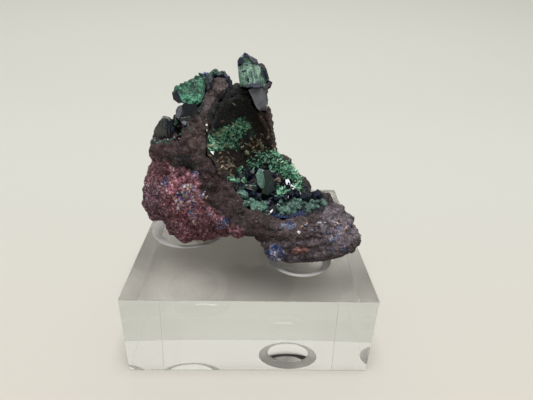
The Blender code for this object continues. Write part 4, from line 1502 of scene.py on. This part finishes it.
@dataclass
class RimCrystals:
    """The tower, the wedge, the crest, the blades and the prism on the hollow's rim."""

    def tower(self) -> None:
        """The tall green crystal with navy plates and its mirror-faced foot."""
        body = hull("tower", (
            (-3.8, 3.9, 59.2), (-3.3, 4.3, 60.0), (-2.3, 4.5, 60.8), (0.4, 4.3, 59.4), (0.8, 3.7, 58.0),
            (2.1, 3.7, 53.4), (-3.0, 3.3, 54.4), (0.2, 2.9, 54.0), (-3.6, 3.7, 58.0), (-2.7, 7.9, 59.0),
            (-1.2, 8.1, 59.7), (1.1, 7.5, 57.9), (2.3, 8.7, 52.0), (-3.1, 8.7, 52.4)))
        side = hull("side", (
            (0.8, 4.2, 58.6), (2.1, 4.4, 57.9), (3.0, 4.8, 56.0), (2.9, 5.4, 53.6), (3.2, 5.8, 49.6),
            (2.1, 4.0, 50.0), (1.0, 8.1, 57.0), (2.7, 8.3, 51.0)))
        ribs = [hull("rib", [Vector((x + dx, y, z)) for dx in (-w, w)
                             for y, z in ((3.3 + d, 59.0 - d), (2.9 + d, 54.6), (4.6, 54.6))])
                for x, w, d in ((-2.6, 0.35, 0.3), (-1.6, 0.28, 0.2), (-0.7, 0.4, 0.15), (0.4, 0.3, 0.25),
                                (1.2, 0.3, 0.5))]
        solids = [body, side, *ribs]
        reliefs = (Relief("CLOUDS", 0.55, 0.40, 2, (1.0, 1.0, 5.0)),
                   Relief("VORONOI", 0.9, 0.20, 0, (1.0, 1.0, 2.2)),
                   Relief("CLOUDS", 0.25, 0.12))
        marks = (
            Patch(((236, 57), (243, 57), (244, 63), (240, 66), (236, 66)), ragged=1.2),
            Patch(((242, 50), (249, 52), (248, 57), (243.5, 57.5)), ragged=1.0),
            Patch(((248, 53), (259, 58), (260, 65), (254, 64), (249, 59)), ragged=1.0),
            Patch(((241.6, 71.2), (244.8, 70.4), (246.6, 72.6), (243.0, 73.6)), ragged=1.4),
            Patch(((245.4, 77.0), (248.6, 78.6), (248.0, 83.0), (245.8, 81.6)), ragged=1.6),
            Patch(((245.0, 65.6), (248.6, 63.6), (248.2, 66.2)), ragged=1.2, strength=0.8),
            Patch(((251.0, 74.0), (253.2, 70.0), (253.6, 78.0), (251.6, 82.0)), ragged=1.6, strength=0.6),
            Patch(((259, 66), (262, 66), (266, 75), (272, 82), (266, 83), (262, 76)), ragged=1.2,
                  strength=0.8),
            Patch(((252, 66), (254, 66), (258, 79), (255, 80)), ragged=1.0, strength=0.5),
            Patch(((238, 86.5), (252, 86.5), (276, 86), (276, 104), (238, 104)), ragged=1.0),
        )
        pale = (Patch(((241, 66), (251, 62), (257, 70), (263, 80), (256, 82), (248, 77), (241, 76)),
                      strength=0.7),)
        finish = MalachiteFinish("tower malachite", (0.56, 0.84, 0.68), (0.17, 0.34, 0.26),
                                 (0.08, 0.165, 0.135))
        coated("tower_coat", solids, reliefs, finish, "malachite", ("tower_crystal",), marks, pale)
        plates("tower_plates", AzuriteFinish("navy plates", (0.012, 0.014, 0.032), (0.040, 0.045, 0.090),
                                             0.22),
               "azurite",
               Facet(((237.4, 60.5), (240.5, 57.8), (243.2, 57.2), (243.4, 60.0), (241.2, 64.2),
                      (238.2, 63.6)), 3.3,
                     (-0.3, -0.8, 0.5), 1.2),
               Facet(((243.0, 54.5), (244.5, 52.2), (248.0, 53.8), (248.6, 56.4), (244.0, 56.8)), 3.8,
                     (-0.1, -0.85, 0.5), 1.2),
               Facet(((247.6, 54.0), (257.0, 59.2), (258.4, 63.2), (253.5, 62.8), (249.6, 58.6)), 3.6,
                     (0.2, -0.75, 0.62), 1.2),
               Facet(((265.0, 66.4), (266.6, 69.0), (269.6, 79.6), (267.2, 79.0), (264.0, 71.0)), 4.4,
                     (0.6, -0.7, 0.35), 1.4),
               Facet(((268.0, 79.5), (272.6, 82.2), (270.6, 88.0), (268.2, 86.0)), 4.4, (0.3, -0.8, 0.5),
                     1.6))
        brown = GrainFinish("brown plates", plain((0.055, 0.040, 0.040)), 0.5, (0.02, 0.016, 0.02), 0.6)
        browns = (
            (((259.0, 63.4), (262.0, 63.0), (265.0, 65.4), (264.6, 68.2), (260.0, 67.4)), 4.0),
            (((262.6, 88.0), (269.6, 81.4), (270.8, 84.0), (266.8, 89.4)), 3.0))
        plates("tower_brown_plates", brown, "iron_stained_rock",
               *(Facet(outline, depth, (0.2, -0.85, 0.45), 1.0) for outline, depth in browns))
        lilac = GrainFinish("lilac ledge", plain((0.075, 0.078, 0.115)), 0.38, (0.016, 0.036, 0.038), 0.95)
        ledge = (
            (((245.0, 84.8), (247.6, 83.6), (250.4, 84.4), (250.8, 86.6), (246.4, 87.4)), 2.8),
            (((250.0, 83.4), (252.4, 82.6), (254.2, 84.0), (253.2, 87.0), (250.6, 86.6)), 2.6),
            (((252.4, 83.6), (258.0, 82.2), (262.0, 83.6), (260.4, 87.2), (253.0, 87.4)), 2.6))
        plates("lilac_ledge", lilac, "azurite",
               *(Facet(outline, depth, (0.15, -0.88, 0.42), 1.2) for outline, depth in ledge))
        mirror = hull("mirror_crystal", (
            (-1.3, 3.1, 53.4), (0.3, 3.4, 54.1), (2.3, 3.1, 53.7), (3.1, 2.6, 50.6), (1.1, 2.2, 49.2),
            (0.4, 2.4, 50.0), (-0.6, 2.6, 52.2), (-1.4, 8.4, 53.2), (2.8, 8.4, 52.5), (3.2, 7.6, 47.6),
            (0.4, 8.6, 47.6)), 0.06)
        # Its grey faces are a painted reflection, under a glossy coat.
        hand_in(mirror, MirrorFinish().make(), "azurite")

    def wedge(self) -> None:
        """The mottled green wedge, its navy lower edge and its lilac side."""
        solids = [hull("wedge", (
            (-17.2, 0.1, 52.9), (-16.8, 0.7, 54.0), (-14.4, 1.0, 54.7), (-11.9, 1.5, 56.3),
            (-10.5, 1.7, 56.7), (-10.1, 0.3, 54.8), (-10.4, -0.7, 52.6), (-11.3, -1.4, 51.2),
            (-12.6, -1.8, 50.9), (-15.0, -1.4, 51.3), (-16.6, -0.6, 51.9), (-15.6, 3.3, 52.8),
            (-11.1, 4.0, 55.3), (-10.7, 3.5, 50.5), (-14.0, 3.1, 49.7)))]
        draw = random.Random(3)
        for middle, half in (((-16.3, 0.9, 53.7), 0.8), ((-15.3, 0.9, 54.3), 0.6), ((-14.2, 1.1, 54.6), 0.8),
                             ((-13.2, 1.3, 55.2), 0.6), ((-12.3, 1.5, 55.8), 0.7), ((-11.2, 1.6, 56.4), 0.6),
                             ((-12.4, -1.3, 51.7), 0.8), ((-14.0, -1.2, 52.2), 0.6)):
            solids.append(knob(Vector(middle), half, draw))
        reliefs = (Relief("VORONOI", 0.7, 0.24), Relief("CLOUDS", 0.35, 0.20),
                   Relief("CLOUDS", 0.8, 0.45, 0, (1.0, 1.0, 2.6)))
        navy = (Patch(((168, 90), (174, 93), (179, 98), (184, 103), (178, 106), (168, 100)), ragged=1.2),
                Patch(((208, 74), (212, 72), (210, 90), (204, 100), (203, 94), (207, 84)), ragged=1.6,
                      strength=0.6))
        pale = (Patch(((184, 96), (202, 93), (202, 103), (188, 105)), ragged=2.0, strength=1.0),
                Patch(disc(182, 89, 6, 3), strength=0.5))
        finish = MalachiteFinish("wedge malachite", (0.110, 0.400, 0.235), (0.011, 0.072, 0.042),
                                 (0.003, 0.018, 0.012), (1.0, 1.0, 2.4), 0.55)
        coated("wedge_coat", solids, reliefs, finish, "malachite", ("malachite_wedge",), navy, pale)
        plates("wedge_foot", AzuriteFinish("navy edge", (0.005, 0.007, 0.022), (0.012, 0.016, 0.050), 0.4,
                                           0.0),
               "azurite",
               Facet(((171.8, 92.6), (174.0, 93.4), (178.8, 99.0), (182.0, 102.6), (178.6, 103.6),
                      (173.2, 99.6)),
                     -1.5, (-0.25, -0.95, -0.1), 2.0))
        plates("wedge_side", MalachiteFinish(
               "lilac side", (0.16, 0.17, 0.21), (0.035, 0.055, 0.065), (0.010, 0.015, 0.050),
               (1.0, 1.0, 2.0), 0.4),
               "azurite",
               Facet(((208.8, 76.4), (210.8, 75.4), (212.6, 77.4), (212.0, 81.4), (209.8, 83.0)), -1.2,
                     (0.45, -0.75, 0.5), 2.0),
               Facet(((208.2, 83.8), (210.6, 83.2), (209.8, 88.0), (207.6, 89.4)), -1.4, (0.3, -0.9, 0.3),
                     2.0))

    def crest(self) -> None:
        """The small botryoidal crystals on the crown."""
        draw = random.Random(4)
        solids = [knob(Vector(middle), half, draw, 20) for middle, half in (
            ((-9.9, 1.0, 56.1), 1.2), ((-9.2, 0.3, 56.3), 0.8), ((-8.2, 1.6, 56.9), 1.0),
            ((-7.4, 0.9, 56.9), 0.8), ((-6.7, 1.8, 56.4), 1.1), ((-5.8, 1.2, 56.0), 0.8),
            ((-5.5, 1.6, 55.2), 0.9), ((-5.2, 1.8, 54.4), 0.7), ((-8.8, 1.0, 57.0), 0.6),
            ((-6.2, 1.4, 56.6), 0.6))]
        reliefs = (Relief("VORONOI", 0.55, 0.30), Relief("CLOUDS", 0.3, 0.16))
        navy = (Patch(((225.5, 68), (236, 72), (236, 92), (227, 92), (224, 78)), ragged=1.2),
                Patch(disc(205, 73, 3.0, 1.6), ragged=0.5), Patch(disc(220, 76, 8, 1.8), strength=0.8),
                Patch(((200, 74), (207, 75), (207, 80), (200, 80)), strength=0.8))
        pale = (Patch(((208, 70), (214, 68), (216, 72), (208, 73)), strength=0.5),)
        finish = MalachiteFinish("crest malachite", (0.085, 0.17, 0.12), (0.028, 0.075, 0.055),
                                 (0.010, 0.024, 0.024), (1.0, 1.0, 1.0), 0.5)
        coated("crest_coat", solids, reliefs, finish, "malachite", ("crest_crystals",), navy, pale)
        # A small azurite face, its blue brightened into a painted sparkle.
        plates("blue_spot", AzuriteFinish("azurite with painted sparkle", (0.02, 0.03, 0.35), (0.05, 0.07, 0.5), 0.3, 0.2,
                                          0.0),
               "azurite",
               Facet(((203.4, 72.0), (205.6, 71.6), (206.2, 73.6), (203.8, 74.2)), -0.6, (0.0, -0.8, 0.6),
                     0.8))

    def blades(self) -> None:
        """The dark glossy blades under the wedge."""
        dark = [facet.build() for facet in (
            Facet(((180.6, 106.5), (184.0, 103.8), (197.5, 104.0), (197.0, 109.0), (190.5, 117.0),
                   (186.0, 121.5), (180.0, 119.5)),
                  -2.7, (0.10, -0.96, 0.20), 4.0),
            Facet(((179.0, 118.0), (186.0, 119.5), (190.5, 116.5), (191.5, 122.0), (187.5, 128.5),
                   (182.5, 126.0)),
                  -3.8, (0.1, -0.97, 0.1), 3.4),
            Facet(((187.6, 105.0), (193.0, 107.0), (191.0, 112.5), (186.6, 110.5)), -3.2, (0.4, -0.8, 0.4),
                  1.6),
        )]
        piece = join(dark, "azurite_blade_cluster")
        hand_in(piece, AzuriteFinish("blade azurite", (0.004, 0.005, 0.009), (0.010, 0.013, 0.024), 0.12, 0.5,
                                     0.3).make(),
                "azurite", "azurite_blades")
        # The blades' grey faces are a painted reflection, under a glossy coat.
        plates("grey_blades", MirrorFinish("grey blade", (0.125, 0.127, 0.148), (0.066, 0.070, 0.092)),
               "azurite",
               Facet(((175.6, 110.0), (178.0, 106.2), (181.0, 105.0), (181.8, 107.5), (181.2, 113.5),
                      (178.4, 119.4), (175.6, 116.5)),
                     -3.1, (-0.45, -0.72, 0.52), 3.4),
               Facet(((187.2, 121.6), (190.4, 122.4), (190.2, 126.6), (187.4, 127.4)), -4.3, (0.3, -0.8, 0.5),
                     1.2))
        draw = random.Random(6)
        tree = ground("matrix_rock", "azurite_blades", "dark_prism")
        spots = [((176.0, 118.5), 0.45), ((176.6, 121.5), 0.5), ((175.6, 124.0), 0.4), ((184.0, 129.0), 0.5),
                 ((183.4, 132.0), 0.5), ((186.0, 131.0), 0.4), ((181.0, 134.5), 0.45), ((178.0, 136.5), 0.4),
                 ((175.0, 138.6), 0.4), ((171.5, 140.2), 0.4), ((168.0, 141.4), 0.45), ((164.4, 142.0), 0.5),
                 ((161.0, 142.6), 0.5), ((158.0, 144.0), 0.5), ((166.0, 144.0), 0.4), ((190.5, 129.5), 0.3),
                 ((196.0, 104.5), 0.4), ((191.0, 105.0), 0.35), ((186.5, 117.5), 0.3)]
        solids = [knob(stand(tree, pixel)[0] + Vector((0, -0.15, 0.1)), half, draw) for pixel, half in spots]
        finish = MalachiteFinish("shelf druse", (0.10, 0.23, 0.16), (0.03, 0.085, 0.06), (0.01, 0.028, 0.022),
                                 (1.0, 1.0, 1.0), 0.5)
        coated("shelf_druse", solids, (Relief("VORONOI", 0.4, 0.2),), finish, "malachite")

    def prism(self) -> None:
        """The dark rounded prism on the shelf, with the ball at its foot."""
        body = hull("prism", (
            (-20.1, -2.4, 47.2), (-19.4, -2.6, 47.9), (-18.8, -2.6, 48.3), (-18.4, -2.5, 48.2),
            (-17.5, -2.1, 47.5), (-16.9, -1.8, 46.7), (-18.2, 0.4, 47.7),
            (-19.5, 0.4, 48.0), (-20.8, -2.6, 46.0), (-18.5, -3.6, 46.3), (-16.5, -2.4, 45.2),
            (-16.8, 1.0, 46.1), (-20.4, 1.0, 46.1), (-20.3, -2.9, 42.5), (-18.0, -3.4, 42.3),
            (-16.6, -2.5, 42.3), (-16.6, 0.9, 42.4), (-20.1, 0.7, 42.4)))
        bpy.ops.object.select_all(action="DESELECT")
        bpy.ops.mesh.primitive_ico_sphere_add(subdivisions=4, radius=1.02 * MM,
                                              location=Vector((-20.8, -3.8, 43.2)) * MM)
        ball = bpy.context.object
        reliefs = (Relief("CLOUDS", 0.35, 0.14, 0, (1.0, 1.0, 6.0)), Relief("CLOUDS", 0.3, 0.06))
        navy = (Patch(((166, 116), (180, 120), (180, 140), (164, 140), (164.5, 124)), ragged=1.2),
                Patch(disc(156, 139, 5), strength=0.75))
        finish = MalachiteFinish("prism coat", (0.043, 0.054, 0.048), (0.018, 0.024, 0.021),
                                 (0.006, 0.009, 0.009),
                                       (1.0, 1.0, 7.0), 0.35, (0.006, 0.008, 0.009), 0.6)
        coated("prism_coat", [body, ball], reliefs, finish, "azurite", ("dark_prism",), navy)

    def glints(self) -> None:
        """The small faces on the rim that throw the lamp's light."""
        plates("rim_glints", MirrorFinish("glinting face", *SHINE), "azurite",
               Facet(((181.3, 121.6), (184.0, 120.4), (186.8, 121.2), (186.0, 124.6), (183.0, 124.0)), -4.5,
                     (-0.17, -0.61, 0.78)),
               Facet(((267.2, 93.2), (268.2, 92.4), (268.8, 96.4), (268.2, 100.2), (267.6, 98.4)), 2.4,
                     (0.09, -0.61, 0.79), 1.0),
               Facet(((205.3, 123.0), (207.4, 122.6), (207.6, 125.4), (205.8, 126.0)), -5.9),
               Facet(((206.0, 128.2), (207.8, 127.8), (207.9, 130.6), (206.4, 131.0)), -5.9),
               Facet(((209.4, 150.9), (214.0, 151.3), (213.5, 155.2)), -7.3),
               *(Facet(((u, v), (u + 1.0, v - 0.4), (u + 1.4, v + 0.5), (u + 0.4, v + 0.9)), -4.3)
                 for u, v in ((167.2, 138.9), (173.4, 137.0), (178.6, 138.2))))

    def dress(self) -> None:
        """Builds every group on the rim."""
        self.tower()
        self.wedge()
        self.crest()
        self.blades()
        self.prism()
        self.glints()


# The block

@dataclass
class DisplayBlock:
    """The clear block with three round seats ground in its top.

    Attributes:
        side: Its length and width, in millimetres.
        height: Its height, in millimetres.
        edge: How much its edges are eased, in millimetres.
        seats: Each seat's centre, radius and depth, in millimetres.
        segments: How finely a seat is turned.
        frost: Where a seat's frosted rim starts, as a share of its radius.
    """

    side: float = 50.8
    height: float = 19.05
    edge: float = 0.05
    seats: tuple[tuple[float, float, float, float], ...] = (
        (-15.4, 1.7, 9.2, 1.9), (11.0, -10.4, 7.2, 1.6), (11.0, 15.5, 8.2, 1.8))
    segments: int = 128
    frost: float = 0.72

    def build(self) -> bpy.types.Object:
        """Models the block, its eased edges and its seats."""
        bpy.ops.object.select_all(action="DESELECT")
        bpy.ops.mesh.primitive_cube_add(size=1.0, location=(0, 0, self.height * MM / 2))
        block = bpy.context.object
        block.scale = (self.side * MM, self.side * MM, self.height * MM)
        block = join([block], "clear_block")
        finish_with(block, "BEVEL", width=self.edge * MM, segments=3)
        for x, y, radius, depth in self.seats:
            sphere = (radius**2 + depth**2) / (2 * depth)
            bpy.ops.object.select_all(action="DESELECT")
            bpy.ops.mesh.primitive_uv_sphere_add(segments=self.segments, ring_count=self.segments,
                                                 radius=sphere * MM,
                                                 location=(x * MM, y * MM,
                                                           (self.height - depth + sphere) * MM))
            ball = bpy.context.object
            finish_with(block, "BOOLEAN", operation="DIFFERENCE", solver="EXACT", object=ball)
            bpy.data.objects.remove(ball)
        pick(block)
        bpy.ops.object.shade_smooth_by_angle(angle=math.radians(14))
        return block

    def dress(self) -> None:
        """Builds the block in clear acrylic, with its seats ground."""
        block = hand_in(self.build(), AcrylicFinish().make(), "clear_acrylic", "acrylic_block")
        block.data.materials.append(GroundFinish().make())
        for face in block.data.polygons:
            x, y, z = (c / MM for c in face.center)
            seated = any(radius * self.frost < math.hypot(x - cx, y - cy) < radius
                         for cx, cy, radius, _ in self.seats)
            if seated and self.height / 2 < z < self.height - 1e-4:
                face.material_index = 1


# The stage

@dataclass
class Studio:
    """The pale floor that sweeps up behind, the soft lights and the camera.

    Attributes:
        width: The sweep's width, in metres.
        front: How far it comes forward.
        bend: Where it starts to rise.
        radius: The radius of the rise.
        top: How high it ends.
        sunk: How far the floor lies below the block, so that the block's underside mirrors.
    """

    width: float = 3.6
    front: float = -1.2
    bend: float = 0.24
    radius: float = 0.50
    top: float = 1.6
    sunk: float = 0.0001

    def sweep(self) -> None:
        """The floor and the backdrop, as one sheet."""
        bpy.ops.object.select_all(action="DESELECT")
        bpy.ops.mesh.primitive_plane_add(size=1.0, location=(0, 0, 0))
        sheet = bpy.context.object
        sheet.name = "backdrop"
        run = self.bend - self.front
        sheet.scale = (self.width, run, 1.0)
        sheet.location = (0, (self.front + self.bend) / 2, -self.sunk)
        bpy.ops.object.transform_apply(location=True, rotation=True, scale=True)
        bpy.ops.object.mode_set(mode="EDIT")
        bpy.ops.mesh.select_all(action="DESELECT")
        bpy.ops.object.mode_set(mode="OBJECT")
        for edge in sheet.data.edges:
            edge.select = all(sheet.data.vertices[v].co.y > self.bend - 1e-4 for v in edge.vertices)
        for vert in sheet.data.vertices:
            vert.select = vert.co.y > self.bend - 1e-4
        bpy.ops.object.mode_set(mode="EDIT")
        bpy.ops.mesh.spin(steps=40, angle=math.radians(-90), center=(0, self.bend, self.radius - self.sunk),
                          axis=(1, 0, 0))
        bpy.ops.mesh.extrude_region_move(TRANSFORM_OT_translate={"value": (0, 0, self.top - self.radius)})
        bpy.ops.mesh.select_all(action="SELECT")
        bpy.ops.mesh.remove_doubles(threshold=1e-5)
        bpy.ops.mesh.normals_make_consistent(inside=True)
        bpy.ops.object.mode_set(mode="OBJECT")
        bpy.ops.object.shade_smooth()
        sheet.data.materials.append(PaperFinish().make())

    def lamp(self, name: str, place: Point, size: float, power: float, aim: Point = (0, 0, 0.03)) -> None:
        """A soft square lamp.

        Args:
            name: Its name.
            place: Where it hangs.
            size: Its side.
            power: Its power in watts.
            aim: Where it points.
        """
        light = bpy.data.lights.new(name, "AREA")
        light.size = size
        light.energy = power
        lamp = bpy.data.objects.new(name, light)
        bpy.context.scene.collection.objects.link(lamp)
        lamp.location = place
        lamp.rotation_euler = (Vector(aim) - Vector(place)).to_track_quat("-Z", "Y").to_euler()

    def dress(self) -> None:
        """Sets the sweep, the lights and the camera."""
        self.sweep()
        self.lamp("top", (0.0, -0.25, 1.50), 0.80, 20.0)
        world = bpy.data.worlds.new("room")
        bpy.context.scene.world = world
        world.use_nodes = True
        back = world.node_tree.nodes["Background"]
        back.inputs[0].default_value = (1.0, 1.0, 0.985, 1.0)
        back.inputs[1].default_value = 0.30
        VIEW.set_camera()
        bpy.context.scene.view_settings.view_transform = "Standard"


def main() -> None:
    """Builds each part in turn and reports it."""
    logging.basicConfig(level=logging.INFO, format="%(name)s: %(message)s")
    for part in (DisplayBlock(), Rock(), Hollow(), RimCrystals(), Studio()):
        LOG.info("building %s", type(part).__name__)
        part.dress()


if __name__ == "__main__":
    main()
